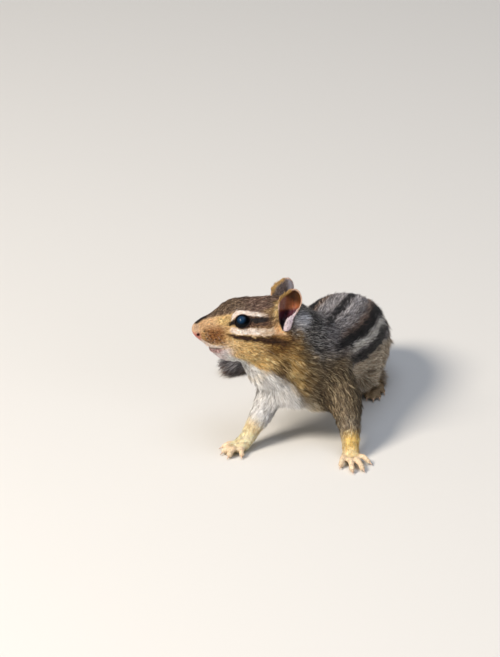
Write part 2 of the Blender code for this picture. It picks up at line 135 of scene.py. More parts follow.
def egg(centre, halves, turn, coat, sides=40):
    # an ellipsoid: latitude times longitude, turned about the vertical
    lat = np.linspace(-math.pi / 2, math.pi / 2, sides // 2 + 1)[1:-1, None]
    lon = np.linspace(0, -math.tau, sides, endpoint=False)[None]
    x, y, z = np.cos(lat) * np.cos(lon), np.cos(lat) * np.sin(lon), np.sin(lat) + 0 * lon
    rings = np.stack([x, y, z], -1) * (np.array(halves) - coat)
    c, s = cosSin(turn)
    return closedGrid(rings @ np.array([[c, s, 0], [-s, c, 0], [0, 0, 1]]) + centre)


def gather(parts):
    # several meshes of points and triangles as one
    starts = np.cumsum([0] + [len(points) for points, _ in parts])
    return (np.vstack([points for points, _ in parts]),
            np.vstack([faces + start for (_, faces), start in zip(parts, starts)]))


def makePiece(name, points, faces, material=None, slot="coat", smooth=True):
    # one mesh object at the origin, its place in its points
    mesh = bpy.data.meshes.new(name)
    mesh.vertices.add(len(points))
    mesh.vertices.foreach_set("co", ((points + originShift) * 0.001).astype(np.float32).ravel())
    mesh.loops.add(faces.size)
    mesh.loops.foreach_set("vertex_index", faces.astype(np.int32).ravel())
    mesh.polygons.add(len(faces))
    mesh.polygons.foreach_set("loop_start", np.arange(0, faces.size, faces.shape[1], dtype=np.int32))
    mesh.update(calc_edges=True)
    mesh.polygons.foreach_set("use_smooth", np.full(len(faces), smooth))
    piece = bpy.data.objects.new(name, mesh)
    bpy.context.scene.collection.objects.link(piece)
    if material:
        mesh.materials.append(material)
        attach(piece, "root")
    return piece


def meshArrays(mesh):
    # the points and the triangles of a mesh, which is then removed
    points = np.empty(len(mesh.vertices) * 3, np.float32)
    mesh.vertices.foreach_get("co", points)
    mesh.calc_loop_triangles()
    faces = np.empty(len(mesh.loop_triangles) * 3, np.int32)
    mesh.loop_triangles.foreach_get("vertices", faces)
    bpy.data.meshes.remove(mesh)
    return points.reshape(-1, 3).astype(float), faces.reshape(-1, 3)


def setPointColours(mesh, values):
    # the tone that the materials read at each point
    layer = mesh.color_attributes.new("tone", "FLOAT_COLOR", "POINT")
    rgba = np.ones((len(values), 4), np.float32)
    rgba[:, :3] = values
    layer.data.foreach_set("color", rgba.ravel())


def setUvs(mesh, values):
    # one place on the unwrap for each corner
    layer = mesh.uv_layers.new(name="OFBake")
    layer.uv.foreach_set("vector", values.astype(np.float32).ravel())


def linear(hexText):
    # sRGB hex to linear: v/12.92 below 0.04045, ((v + 0.055)/1.055)^2.4 above
    v = np.array([int(hexText[i:i + 2], 16) for i in (0, 2, 4)]) / 255
    return np.where(v <= 0.04045, v / 12.92, ((v + 0.055) / 1.055) ** 2.4)


def addNode(tree, kind, settings=None, inputs=None):
    # inputs: socket name or number -> a value, or a socket to link from
    node = tree.nodes.new(kind)
    for key, value in (settings or {}).items():
        setattr(node, key, value)
    for key, value in (inputs or {}).items():
        if isinstance(value, bpy.types.NodeSocket):
            tree.links.new(value, node.inputs[key])
        else:
            node.inputs[key].default_value = value
    return node


def newMaterial(name, sockets):
    # sockets: the surface's uniform values
    material = bpy.data.materials.new(name)
    material.use_nodes = True
    surface = material.node_tree.nodes["Principled BSDF"]
    for key, value in sockets.items():
        surface.inputs[key].default_value = value
    return material, material.node_tree, surface


def grainOf(tree, place, layers):
    # one noise or the sum of two: cells to the metre, and detail
    noises = [addNode(tree, "ShaderNodeTexNoise", None,
                      {"Vector": place, "Scale": scale, "Detail": detail}).outputs["Fac"]
              for scale, detail in layers]
    if len(noises) == 1:
        return noises[0]
    return addNode(tree, "ShaderNodeMath", {"operation": "ADD"}, dict(enumerate(noises))).outputs[0]


def dress(tree, surface, colour, grain=None, relief=None):
    # the surface's colour; relief: how high and how strongly the grain stands out
    tree.links.new(colour, surface.inputs["Base Color"])
    if relief:
        raised = addNode(tree, "ShaderNodeBump", None,
                         {"Height": grain, "Distance": relief[0], "Strength": relief[1]})
        tree.links.new(raised.outputs["Normal"], surface.inputs["Normal"])


def tonedMaterial(name, layers, levels, sockets, relief=None):
    # the tone at each point times a fine grain; levels: the grain's range and what it becomes
    material, tree, surface = newMaterial(name, sockets)
    tone = addNode(tree, "ShaderNodeAttribute", {"attribute_name": "tone"})
    grain = grainOf(tree, addNode(tree, "ShaderNodeTexCoord").outputs["Object"], layers)
    ends = dict(zip(("From Min", "From Max", "To Min", "To Max"), levels))
    level = addNode(tree, "ShaderNodeMapRange", None, {"Value": grain, **ends})
    shade = addNode(tree, "ShaderNodeVectorMath", {"operation": "SCALE"},
                    {0: tone.outputs["Color"], "Scale": level.outputs["Result"]})
    dress(tree, surface, shade.outputs["Vector"], grain, relief)
    return material


def tintedMaterial(name, layers, stops, sockets, relief=None, rise=None):
    # one tone to another by a fine grain; rise: what a metre of height adds to the grain
    material, tree, surface = newMaterial(name, sockets)
    place = addNode(tree, "ShaderNodeTexCoord").outputs["Object"]
    grain = share = grainOf(tree, place, layers)
    if rise:
        height = addNode(tree, "ShaderNodeSeparateXYZ", None, {0: place}).outputs["Z"]
        share = addNode(tree, "ShaderNodeMath", {"operation": "MULTIPLY_ADD"},
                        {0: height, 1: rise, 2: grain}).outputs[0]
    tint = addNode(tree, "ShaderNodeValToRGB", None, {"Fac": share})
    for element, (position, tone) in zip(tint.color_ramp.elements, stops):
        element.position, element.color = position, (*linear(tone), 1)
    dress(tree, surface, tint.outputs["Color"], grain, relief)
    return material


# the head's own frame
noseTip = np.array([-38.4, 6.9, 44.4])
headForward = unit([-0.985, -0.14, -0.06])
headLeft = unit(np.cross([-0.03, 0.2, 0.98], headForward))
headUp = np.cross(headForward, headLeft)
headAxes = np.array([-headForward, headLeft, headUp])


def headPoint(behind, left, above):
    # the nose tip walked backwards, to the animal's left and upwards
    return noseTip + np.stack(np.broadcast_arrays(behind, left, above), -1) @ headAxes


def headPlace(points):
    # how far points are behind, left of and above the nose tip
    return ((points - noseTip) @ headAxes.T).T


# behind the nose, half width, top, widest line, underside, depth of the coat
headSections = (
    (-0.1, 0.5, 0.4, -0.2, -0.7, 0.0),
    (0.5, 1.7, 1.8, -0.2, -2.0, 0.03),
    (2.3, 3.0, 3.1, -0.7, -3.9, 0.1),
    (4.5, 4.1, 4.2, -1.3, -5.9, 0.2),
    (6.6, 5.0, 4.9, -1.9, -8.9, 0.3),
    (9.2, 6.1, 6.4, -2.4, -11.5, 0.4),
    (12.2, 7.5, 8.4, -2.8, -12.8, 0.5),
    (15.2, 9.0, 9.5, -3.0, -13.2, 0.7),
    (19.0, 10.6, 9.7, -3.2, -14.2, 0.9),
    (23.5, 11.9, 9.6, -3.6, -15.2, 1.2),
    (28.5, 12.6, 9.4, -3.8, -15.8, 1.5),
    (33.5, 12.4, 8.6, -3.8, -15.8, 1.8),
    (38.5, 11.0, 6.4, -3.8, -14.0, 2.0),
    (42.0, 7.6, 2.8, -3.8, -10.6, 2.0),
    (43.6, 3.0, -1.2, -3.8, -6.4, 2.0),
)

trunk = {
    "coat": 2.3,        # mm, from the solids' outline to the skin
    "stations": (
        (-9.0, 9.5, 43.5, 7.0, 6.0, 7.0),
        (-6.0, 10.5, 39.5, 11.5, 10.0, 11.5),
        (-2.5, 13.0, 34.5, 14.0, 12.5, 14.0),
        (2.0, 18.0, 31.0, 15.0, 14.0, 15.0),
        (6.3, 26.0, 27.8, 15.6, 13.8, 15.0),
        (10.5, 35.0, 26.0, 16.2, 14.2, 14.5),
        (14.3, 45.0, 24.8, 16.4, 14.6, 15.5),
        (17.2, 55.0, 22.4, 15.6, 14.6, 15.8),
        (19.2, 64.5, 19.2, 14.0, 12.3, 14.2),
        (20.7, 72.5, 17.0, 11.0, 10.3, 11.5),
        (21.0, 77.5, 15.0, 5.0, 4.5, 5.5),
    ),
}

# the line of the spine over the hind legs, and the angle of a mass mirrored in it
hips = {"middle": np.array([18.2, 62.0]), "heading": unit([-0.18, -0.984]), "turn": -15}

# centre, half sizes, turn in degrees, depth of the coat
masses = (
    ((-11.8, 9.5, 32.0), (9.6, 8.5, 10.8), 0, 0.9),
    ((0.5, 16.5, 37.0), (12.5, 12.0, 11.0), 0, 2.1),
    ((7.0, 25.0, 32.0), (12.5, 12.5, 9.8), 0, 2.3),
    ((-1.0, 11.5, 25.0), (12.0, 10.5, 12.8), 0, 2.2),
    ((6.5, 14.5, 20.0), (10.5, 10.5, 10.2), 0, 2.3),
    ((9.5, 14.5, 27.0), (9.0, 9.5, 12.0), 0, 1.9),
    ((-5.0, 15.5, 26.5), (8.0, 9.0, 11.0), 0, 1.9),
    ((13.0, 44.0, 19.0), (13.5, 18.0, 11.5), 0, 2.3),
    ((24.9, 58.0, 16.8), (8.8, 15.2, 12.8), -6, 1.8),
    ((23.7, 47.0, 11.4), (5.5, 8.5, 6.8), -6, 1.3),
)
mirroredMasses = 2  # the last ones, thigh and knee

# x, y, z, half width, rise, drop, depth of the coat
leftForeleg = (
    (9.5, 15.0, 27.0, 7.5, 7.5, 7.5, 2.0),
    (13.6, 11.5, 20.5, 8.0, 8.0, 8.0, 2.0),
    (16.7, 6.5, 15.5, 6.7, 6.7, 6.7, 1.7),
    (17.8, 0.8, 11.0, 4.6, 4.6, 4.6, 1.1),
    (18.1, -3.2, 6.8, 3.2, 3.1, 3.1, 0.6),
    (18.2, -6.0, 3.6, 3.0, 2.2, 2.6, 0.35),
    (18.2, -8.4, 2.0, 3.3, 1.6, 2.3, 0.2),
    (18.3, -10.6, 1.4, 2.7, 1.1, 1.7, 0.1),
)
rightForeleg = (
    (-4.0, 15.0, 26.0, 7.2, 7.2, 7.2, 2.0),
    (-7.8, 13.5, 21.5, 6.8, 6.8, 6.8, 1.9),
    (-10.6, 10.8, 16.0, 5.7, 5.6, 5.6, 1.4),
    (-13.6, 7.8, 11.2, 4.4, 4.3, 4.3, 1.0),
    (-16.5, 4.6, 7.4, 3.1, 3.0, 3.1, 0.6),
    (-18.7, 2.0, 4.3, 2.9, 2.3, 2.8, 0.35),
    (-21.0, 0.0, 2.7, 3.2, 1.8, 2.9, 0.2),
    (-23.2, -1.7, 1.8, 2.8, 1.3, 2.1, 0.1),
)
leftHindFoot = (
    (25.2, 74.0, 3.6, 2.4, 2.4, 2.8, 0.4),
    (25.4, 72.2, 3.4, 3.4, 3.4, 3.8, 0.4),
    (25.9, 65.0, 2.8, 3.3, 2.8, 3.2, 0.35),
    (26.8, 57.0, 2.5, 3.5, 2.3, 2.9, 0.3),
    (27.3, 51.0, 2.1, 3.6, 1.8, 2.5, 0.2),
    (27.6, 47.8, 1.6, 3.0, 1.2, 1.9, 0.15),
)
tailStations = (
    (20.6, 70.0, 16.5, 4.0, 4.0, 4.0, 1.0),
    (21.2, 78.0, 13.0, 4.4, 4.2, 4.2, 1.4),
    (21.4, 84.5, 9.4, 5.0, 4.3, 4.6, 2.2),
    (19.2, 91.0, 6.2, 6.0, 4.4, 5.8, 2.6),
    (13.4, 95.6, 4.7, 7.0, 4.4, 5.2, 2.6),
    (5.3, 96.2, 4.2, 7.6, 4.5, 4.6, 2.7),
    (-2.6, 91.4, 4.2, 7.9, 4.5, 4.6, 2.8),
    (-8.8, 83.3, 4.2, 7.9, 4.5, 4.6, 2.9),
    (-14.0, 75.5, 4.1, 7.6, 4.3, 4.5, 2.9),
    (-19.2, 70.8, 3.8, 6.8, 3.8, 4.2, 2.9),
    (-23.0, 68.2, 3.5, 5.7, 3.4, 3.9, 2.6),
)
tailCore = {"girth": 1.9, "tipGirth": 1.1}

# fingers on the floor plan: knuckle, tip, half width
leftFingers = (
    ((15.9, -8.4), (14.4, -15.0), 1.15),
    ((17.5, -10.0), (18.6, -18.8), 1.20),
    ((19.3, -10.0), (22.4, -17.6), 1.20),
    ((20.6, -8.0), (24.8, -12.0), 1.10),
)
rightFingers = (
    ((-22.8, 1.4), (-27.6, 0.6), 1.15),
    ((-23.7, -0.3), (-27.4, -3.6), 1.30),
    ((-22.9, -1.9), (-25.3, -6.9), 1.30),
    ((-20.7, -1.6), (-20.7, -6.6), 1.15),
)
leftHindToes = (
    ((24.6, 52.0), (23.4, 46.2), 1.00),
    ((25.9, 49.0), (25.2, 42.4), 1.10),
    ((27.4, 48.4), (27.5, 41.2), 1.10),
    ((28.9, 49.2), (29.8, 42.6), 1.10),
    ((30.1, 52.4), (31.6, 47.2), 1.00),
)


def mirrored(x, y):
    # a place on the floor plan on the other side of the line of the spine
    offset = np.array([x, y]) - hips["middle"]
    return hips["middle"] + 2 * hips["heading"] * offset.dot(hips["heading"]) - offset


rightHindFoot = tuple((*mirrored(*row[:2]), *row[2:]) for row in leftHindFoot)
rightHindToes = tuple((mirrored(*k), mirrored(*t), half) for k, t, half in leftHindToes)
allFingers = leftFingers + rightFingers + leftHindToes + rightHindToes

finger = {"knuckleHeight": 1.6, "tipHeight": 0.85, "arch": 1.2, "coat": 0.05}


def fingerRows(knuckle, tip, half):
    # a low sine arch from the knuckle to the tip, thicker at the joints and at the pad
    start = np.array([*knuckle, finger["knuckleHeight"]])
    end = np.array([*tip, finger["tipHeight"]])
    share = np.array([-0.3, 0.0, 0.16, 0.32, 0.48, 0.64, 0.8, 0.92, 1.0])
    swell = np.array([0.95, 1.06, 1.0, 0.94, 1.02, 0.9, 0.92, 1.0, 0.5]) * half
    places = start + (end - start) * share[:, None]
    places[:, 2] += finger["arch"] * np.sin(math.pi * np.clip(share, 0, 1))
    return np.column_stack([places, swell, swell, swell])


def headRings(steps=6, sides=36):
    # egg-shaped sections from the nose to the nape, less the coat
    behind, half, top, middle, bottom, coat = smoothRows(headSections, steps).T[:, :, None]
    turn = np.linspace(0, math.tau, sides, endpoint=False)[None]
    coat = coat * skin["depth"]
    reach = np.where(np.sin(turn) > 0, top - middle, middle - bottom) - coat
    return headPoint(behind, (half - coat) * np.cos(turn), middle + np.maximum(reach, 0.1)
                     * np.sin(turn))


def limb(rows):
    # a tube whose coat has its own depth at each station
    table = np.array(rows, float)
    return tube(table[:, :6], coat=smoothRows(table[:, 6:], 6).T[0] * skin["depth"])


def tailRows():
    # the tail's own thin core inside its brush
    table = np.array(tailStations)[:, :6].copy()
    share = np.linspace(0, 1, len(table))[:, None]
    core = mix(tailCore["girth"], tailCore["tipGirth"], share)
    table[:, 3:6] = mix(table[:, 3:6], core, ramp(share, 0.0, 0.3))
    return table


# the skin: one closed surface under the whole coat

skin = {
    "depth": 0.45,      # share of the coat's depth that the hairs fill as they lie
    "voxel": 0.54,      # of the union of the masses
    "blendPasses": 150, # where flesh runs into flesh
    "finePasses": 4,    # everywhere
    "fineMuzzle": 12.5, # behind the nose, and round an eye, where the mesh is made finer
    "fineEye": 5.6,
    "floor": 0.02,
}


def massesUnderCoat():
    # every loft and egg of the animal, less what the coat takes up
    depth = skin["depth"]
    parts = [closedGrid(headRings()), tube(trunk["stations"], coat=trunk["coat"] * depth)]
    parts += [egg(centre, halves, turn, coat * depth) for centre, halves, turn, coat in masses]
    parts += [egg((*mirrored(*centre[:2]), centre[2]), halves, hips["turn"], coat * depth)
              for centre, halves, _, coat in masses[-mirroredMasses:]]
    parts += [limb(rows) for rows in (leftForeleg, rightForeleg, leftHindFoot, rightHindFoot)]
    parts.append(tube(tailRows(), sides=18))
    parts += [tube(fingerRows(*each), sides=16, coat=finger["coat"]) for each in allFingers]
    return gather(parts)


def remeshed(points, faces, voxel):
    # one outer surface of all the masses together
    raw = makePiece("masses", points, faces)
    union = raw.modifiers.new("union", "REMESH")
    union.mode = "VOXEL"
    union.voxel_size = voxel * 0.001
    mesh = bpy.data.meshes.new_from_object(
        raw.evaluated_get(bpy.context.evaluated_depsgraph_get()))
    bpy.data.objects.remove(raw)
    points, faces = meshArrays(mesh)
    return points * 1000 - originShift, faces


def edgeEnds(faces):
    # the sides of all triangles: on a closed surface each edge comes once each way
    ends = np.vstack([faces[:, [0, 1]], faces[:, [1, 2]], faces[:, [2, 0]]])
    return ends[:, 0], ends[:, 1]


def evenOut(values, ends, share, passes):
    # each value goes a share of the way to the mean of its neighbours
    here, there = ends
    count = len(values)
    around = np.bincount(here, minlength=count)[:, None]
    for _ in range(passes):
        mean = np.stack([np.bincount(here, values[there, k], count)
                         for k in range(values.shape[1])], -1) / around
        values = values + share * (mean - values)
    return values


def faceNormals(points, faces):
    # square to each triangle, twice as long as its area is large
    a, b, c = (points[faces[:, k]] for k in range(3))
    return np.cross(b - a, c - a)


def pointNormals(points, faces):
    # sum of the face normals round each point, by area
    flat = faceNormals(points, faces)
    total = np.stack([np.bincount(faces.ravel(), np.repeat(flat[:, k], 3), len(points))
                      for k in range(3)], -1)
    return unit(total)


def refined(points, faces, chosen):
    # every edge between chosen points is cut in two
    form = bmesh.new()
    mesh = bpy.data.meshes.new("fine")
    mesh.from_pydata(points.tolist(), [], faces.tolist())
    form.from_mesh(mesh)
    form.edges.ensure_lookup_table()
    ends = np.empty(len(mesh.edges) * 2, np.int32)
    mesh.edges.foreach_get("vertices", ends)
    cut = np.nonzero(chosen[ends.reshape(-1, 2)].all(1))[0]
    bmesh.ops.subdivide_edges(form, edges=[form.edges[i] for i in cut], cuts=1, use_grid_fill=True)
    bmesh.ops.triangulate(form, faces=form.faces)
    form.to_mesh(mesh)
    form.free()
    return meshArrays(mesh)


# the face: what is pressed into and raised out of the skin

eye = {
    "behind": 17.8, "out": 7.3, "above": 2.25, "radius": 3.05,
    "axis": (-0.26, 0.88, 0.36),  # where it looks: behind, out, above
    "long": 2.8, "high": 2.4,     # half sizes of the opening between the lids
    "corner": 0.1,                # how far the opening narrows at its corners
    "tilt": -9,                   # degrees the opening's front corner is above its rear one
    "lidHeight": 0.1, "lidGirth": 0.2, "lidSlope": 0.12, "cornea": 0.12,
    "skyReflection": (0.22, 0.06, 6, 40),  # painted reflection of the sky, blue in the eye's upper middle: up, ahead, degrees it starts and ends
    # the painted blue reflection of the sky in the middle, and the near-black iris round it
    "tones": ("1a344e", "010102"),
}
face = {
    "lipLine": ((5.0, 6.5, 8.0, 10.0, 11.5), (-6.7, -6.95, -7.0, -6.7, -6.1)),
    "nostril": (1.95, -1.55),
    # how far each part is raised, and how deep each is pressed in
    "upperLip": 0.28, "lowerLip": 0.22, "pad": 0.35, "wing": 0.22,
    "lipDepth": 0.5, "lipWidth": 0.42, "nostrilDepth": 1.0, "philtrumDepth": 0.35, "crease": 0.12,
}


def eyeFrame(side):
    # the eye's centre, where it looks, forwards along the opening, and up across it
    centre = headPoint(eye["behind"], side * eye["out"], eye["above"])
    behind, out, above = eye["axis"]
    axis = unit(np.array([behind, side * out, above]) @ headAxes)
    along = unit(np.cross(axis, headUp) * -side)
    along = along * np.sign(along @ headForward)
    over = unit(np.cross(axis, along)) * np.sign(np.cross(axis, along) @ headUp)
    c, s = cosSin(eye["tilt"])
    return centre, axis, along * c + over * s, over * c - along * s


def toEye(points):
    # mm to the nearer eye's centre
    return np.min([np.linalg.norm(points - eyeFrame(side)[0], axis=1) for side in (1, -1)], axis=0)


def openingShare(u, v):
    # 1 on the edge of the lids: an oval with slightly drawn-out corners
    across = (u / eye["long"]) ** 2
    return np.sqrt(across + (v / (eye["high"] * (1 - eye["corner"] * across))) ** 2)


# an ear: a dished leaf with a rolled rim, in its own plane (rearward, upward)
ear = {
    "centre": (33.9, 10.7, 6.2),   # behind, out, above the nose
    "upward": (0.2, -0.13, 0.97), "rearward": (0.96, 0.16, -0.18),
    "middle": (-0.2, -0.2),
    "cup": 3.0, "wall": 0.42,
    "rim": 0.3, "lobeRim": 0.62,   # how far the rim is rolled out, above and below
    "hole": (-1.2, -2.4, 1.3, 1.6, 1.6),     # place, half sizes and depth
    "notch": (-1.8, -5.6, 0.5, 1.6, 1.2),
    "gap": 0.4,                    # between the leaf's back and the head
    "fold": (1.1, 0.55, 0.55),     # inside the rear rim: place, half width and height
    "rimGrow": (0.18, 0.32),       # how far the rim swells out, above and below
    "unwrapSize": 18,              # mm of the ear across the unwrap
    # front edge of the furred lobe below the opening: up, rearward
    "lobe": ((-7.9, -5.9, -4.5, -3.5, -2.7, -1.3, 0.8), (-1.2, -1.1, -0.7, 0.05, 1.2, 2.3, 3.5)),
}
earOutline = (
    (1.2, 6.7), (2.8, 6.3), (3.9, 4.9), (4.3, 2.8), (3.8, 0.5), (2.7, -1.7), (1.8, -3.6),
    (1.6, -5.4), (1.2, -7.0), (0.0, -7.9), (-1.4, -7.5), (-2.3, -5.8), (-2.9, -3.6),
    (-3.4, -0.8), (-3.5, 1.9), (-2.8, 3.4), (-0.9, 5.3),
)


def earAxes(side):
    # middle of the ear and its directions up, to the rear edge and out of the opening
    upward = unit(np.array(ear["upward"]) * (1, side, 1) @ headAxes)
    rearward = unit(np.array(ear["rearward"]) * (1, side, 1) @ headAxes)
    outward = unit(np.cross(rearward, upward)) * side
    rearward = np.cross(upward, outward) * side
    return headPoint(*(np.array(ear["centre"]) * (1, side, 1))), upward, rearward, outward


def earLine(count):
    # the outline as one smooth closed line, starting near the tip
    closed = earOutline[-1:] + earOutline + earOutline[:2]
    line = smoothRows(closed, 24)[24:-24]
    steps = np.linspace(0, len(line) - 1, count, endpoint=False)
    return np.stack([np.interp(steps, np.arange(len(line)), line[:, k]) for k in (0, 1)], -1)


def earPits(x, y):
    # two bell-shaped hollows
    return sum(-depth * spot(x, y, (placeX, placeY), (halfX, halfY))
               for placeX, placeY, halfX, halfY, depth in (ear["hole"], ear["notch"]))


def lobeShare(x, y, low, high, top):
    # 1 on the furred lobe below the opening
    return ramp(x - np.interp(y, *ear["lobe"]), low, high) * fall(y, -1.0, top)


def earShare(points, side):
    # as seen along the opening: 1 on the outline and 0 in its middle; how far out the points are;
    # the way out; and how far out the skin behind the leaf may come
    centre, upward, rearward, outward = earAxes(side)
    offset = points - centre
    middle = np.array(ear["middle"])
    flat = np.stack([offset @ rearward, offset @ upward], -1) - middle
    line = earLine(180) - middle
    angle = np.arctan2(line[:, 1], line[:, 0])
    order = np.argsort(angle)
    reach = np.interp(np.arctan2(flat[:, 1], flat[:, 0]), angle[order],
                      np.linalg.norm(line, axis=1)[order], period=math.tau)
    share = np.linalg.norm(flat, axis=1) / reach
    x, y = (flat + middle).T
    floor = -ear["cup"] * (1 - np.minimum(share, 1) ** 2.4) + earPits(x, y)
    return share, offset @ outward, outward, floor - ear["wall"] - ear["gap"]


def shapeFace(points, normals):
    # the skin follows the ear's back and the eyeball, dips inside the opening between the lids,
    # and on the snout goes in or out along its normals by a bell round each feature
    points = points.copy()
    for side in (1, -1):
        share, depth, outward, floor = earShare(points, side)
        over = (share < 1) & (depth > floor) & (depth < 6)
        points[over] += ((floor - depth)[:, None] * outward)[over]
        centre, axis, along, over = eyeFrame(side)
        u, v, w = (points - centre) @ along, (points - centre) @ over, (points - centre) @ axis
        share = openingShare(u, v)
        lid = np.sqrt(np.clip(eye["radius"] ** 2 - u**2 - v**2, 1.0, None)) + eye["lidHeight"]
        near = (w > -2.5) & (share < 2.2)
        outside = mix(lid - eye["lidSlope"] * (share - 1), w, ramp(share, 1.15, 2.0))
        inside = mix(lid, -0.8, ramp(1 - share, 0.02, 0.3))
        wanted = np.where(share < 1, inside, outside)
        points[near] += ((wanted - w)[:, None] * axis)[near]
    b, l, h = headPlace(points)
    out = np.abs(l)
    snout = (b < 14) & (h > -12)
    line = np.interp(b, *face["lipLine"])
    groove = bump(h, line, face["lipWidth"]) * ramp(b, 3.5, 5.5) * fall(b, 8.5, 10.5)
    lips = bump(h, line + 1.3, 0.9) * face["upperLip"] + bump(h, line - 1.0, 0.7) * face["lowerLip"]
    lips = lips * ramp(b, 3.5, 6) * fall(b, 9.5, 12.0)
    pad = spot(b, h, (6.3, -2.6), (2.6, 2.4)) * ramp(out, 1.5, 3.0)
    philtrum = bump(l, 0, 0.28) * fall(h, -1.5, -0.6) * fall(b, 4.5, 6) * ramp(h, -6, -5)
    nb, nh = face["nostril"]
    du, dv = (b - nb) * 0.8 + (h - nh) * 0.6, (h - nh) * 0.8 - (b - nb) * 0.6
    pit = spot(du, dv, (0, 0), (0.42, 0.62)) * (out > 0.8)
    wing = spot(b, h, (nb - 0.2, nh + 0.3), (1.1, 1.2)) * ramp(out, 0.7, 1.3)
    crease = bump(h, 0.9 - 0.25 * (b - 1.5), 0.3) * bump(b, 2.4, 1.0) * ramp(out, 0.8, 1.8)
    push = (lips + face["pad"] * pad + face["wing"] * wing - face["lipDepth"] * groove
            - face["nostrilDepth"] * pit - face["philtrumDepth"] * philtrum
            - face["crease"] * crease)
    points[snout] += (push[:, None] * normals)[snout]
    return points


# the lines that hairs follow, and where a point of the body is along and around them

thigh = {"top": (26.5, 53.0, 25.0), "bottom": (26.8, 62.0, 7.0), "radius": 8.0}


def lineGuide(centres, radius, along=None):
    # stations, the radius at each, and the way of the hair there, which is the line's own by default
    return np.asarray(centres, float), np.asarray(radius, float), \
        unit(np.gradient(centres, axis=0)) if along is None else along


def tubeGuide(rows, steps=4):
    # the middle line of a tube's stations
    table = smoothRows(np.array(rows, float)[:, :6], steps)
    return lineGuide(table[:, :3], table[:, 3:6].mean(1))


def headGuide():
    # from the nose backwards, with hair straight back everywhere
    b, half, top, _, bottom, _ = smoothRows(headSections, 4).T
    centres = headPoint(b, 0 * b, (top + bottom) / 2)
    return lineGuide(centres, (half + (top - bottom) / 2) / 2, np.tile(unit(-headForward), (len(b), 1)))


def thighGuide(side):
    # a straight line down the outside of the thigh
    ends = np.array([thigh["top"], thigh["bottom"]])
    if side < 0:
        ends[:, :2] = [mirrored(*end[:2]) for end in ends]
    t = np.linspace(0, 1, 20)[:, None]
    return lineGuide(ends[0] + t * (ends[1] - ends[0]), np.full(20, thigh["radius"]))


guides = {
    "head": headGuide(),
    "trunk": tubeGuide(trunk["stations"]),
    "leftForeleg": tubeGuide(leftForeleg[1:]),
    "rightForeleg": tubeGuide(rightForeleg[1:]),
    "leftHindFoot": tubeGuide(leftHindFoot[2:]),
    "rightHindFoot": tubeGuide(rightHindFoot[2:]),
    "leftThigh": thighGuide(1),
    "rightThigh": thighGuide(-1),
    "tail": tubeGuide(tailRows()[2:]),
}
for number, each in enumerate(allFingers):
    guides[f"finger{number}"] = tubeGuide(fingerRows(*each)[1:], 2)
guideNames = list(guides)
fingerFirst = guideNames.index("finger0")


def nearestOn(guide, points):
    # number of the nearest station and the distance to it, counted in the guide's own radius
    centres, radius, _ = guide
    best = np.full(len(points), 1e9)
    which = np.zeros(len(points), int)
    for i, (centre, size) in enumerate(zip(centres, radius)):
        far = np.sqrt(((points - centre) ** 2).sum(1)) / size
        closer = far < best
        best[closer], which[closer] = far[closer], i
    return which, best


def beforeEar(points):
    # 1 on the strip of head in front of the ears
    b, l, h = headPlace(points)
    return (bump(b - 28.6 - 0.1 * h, 0, 2.0) * ramp(h, -7, -4) * fall(h, 6, 8)
            * ramp(np.abs(l), 6.5, 8.5))


def swung(lie, way, mask):
    # the lie of the hair turned another way as far as the mask says
    return mix(lie, unit(way) * np.linalg.norm(lie, axis=1)[:, None], mask[:, None])


def bodyPlace(points):
    # each guide's share falls off as exp(-8 x how much farther it is than the nearest one)
    places = [nearestOn(guide, points) for guide in guides.values()]
    ratio = np.stack([best for _, best in places], -1)
    share = np.exp(-8 * (ratio - ratio.min(1, keepdims=True)))
    share /= share.sum(1, keepdims=True)
    lie = sum(share[:, k, None] * guide[2][which]
              for k, (guide, (which, _)) in enumerate(zip(guides.values(), places)))
    b, _, h = headPlace(points)
    lie = swung(lie, -headForward - 0.6 * headUp, share[:, 0] * ramp(b, 9, 16) * ramp(-h, 4, 9))
    lie = swung(lie, 0.85 * headUp - 0.35 * headForward, beforeEar(points))
    # mm along the trunk, and degrees round it from the spine
    centres, _, along = guides["trunk"]
    arc = np.concatenate([[0], np.cumsum(np.linalg.norm(np.diff(centres, axis=0), axis=1))])
    which = places[1][0]
    back = along[which]
    over = unit(np.array([0, 0, 1.0]) - back * back[:, 2:])
    offset = points - centres[which]
    t = arc[which] + (offset * back).sum(1)
    angle = np.degrees(np.arctan2((offset * np.cross(back, over)).sum(1), (offset * over).sum(1)))
    spine = np.interp(t, (3, 15, 29, 39, 48, 57), (4, 28, 17, 13, 11, 8))
    return {"share": {name: share[:, k] for k, name in enumerate(guideNames)},
            "finger": share[:, fingerFirst:].sum(1), "lie": lie, "t": t,
            "angle": (angle - spine + 180) % 360 - 180,
            "reach": {name: which / (len(guides[name][0]) - 1)
                      for name, (which, _) in zip(guideNames, places)}}


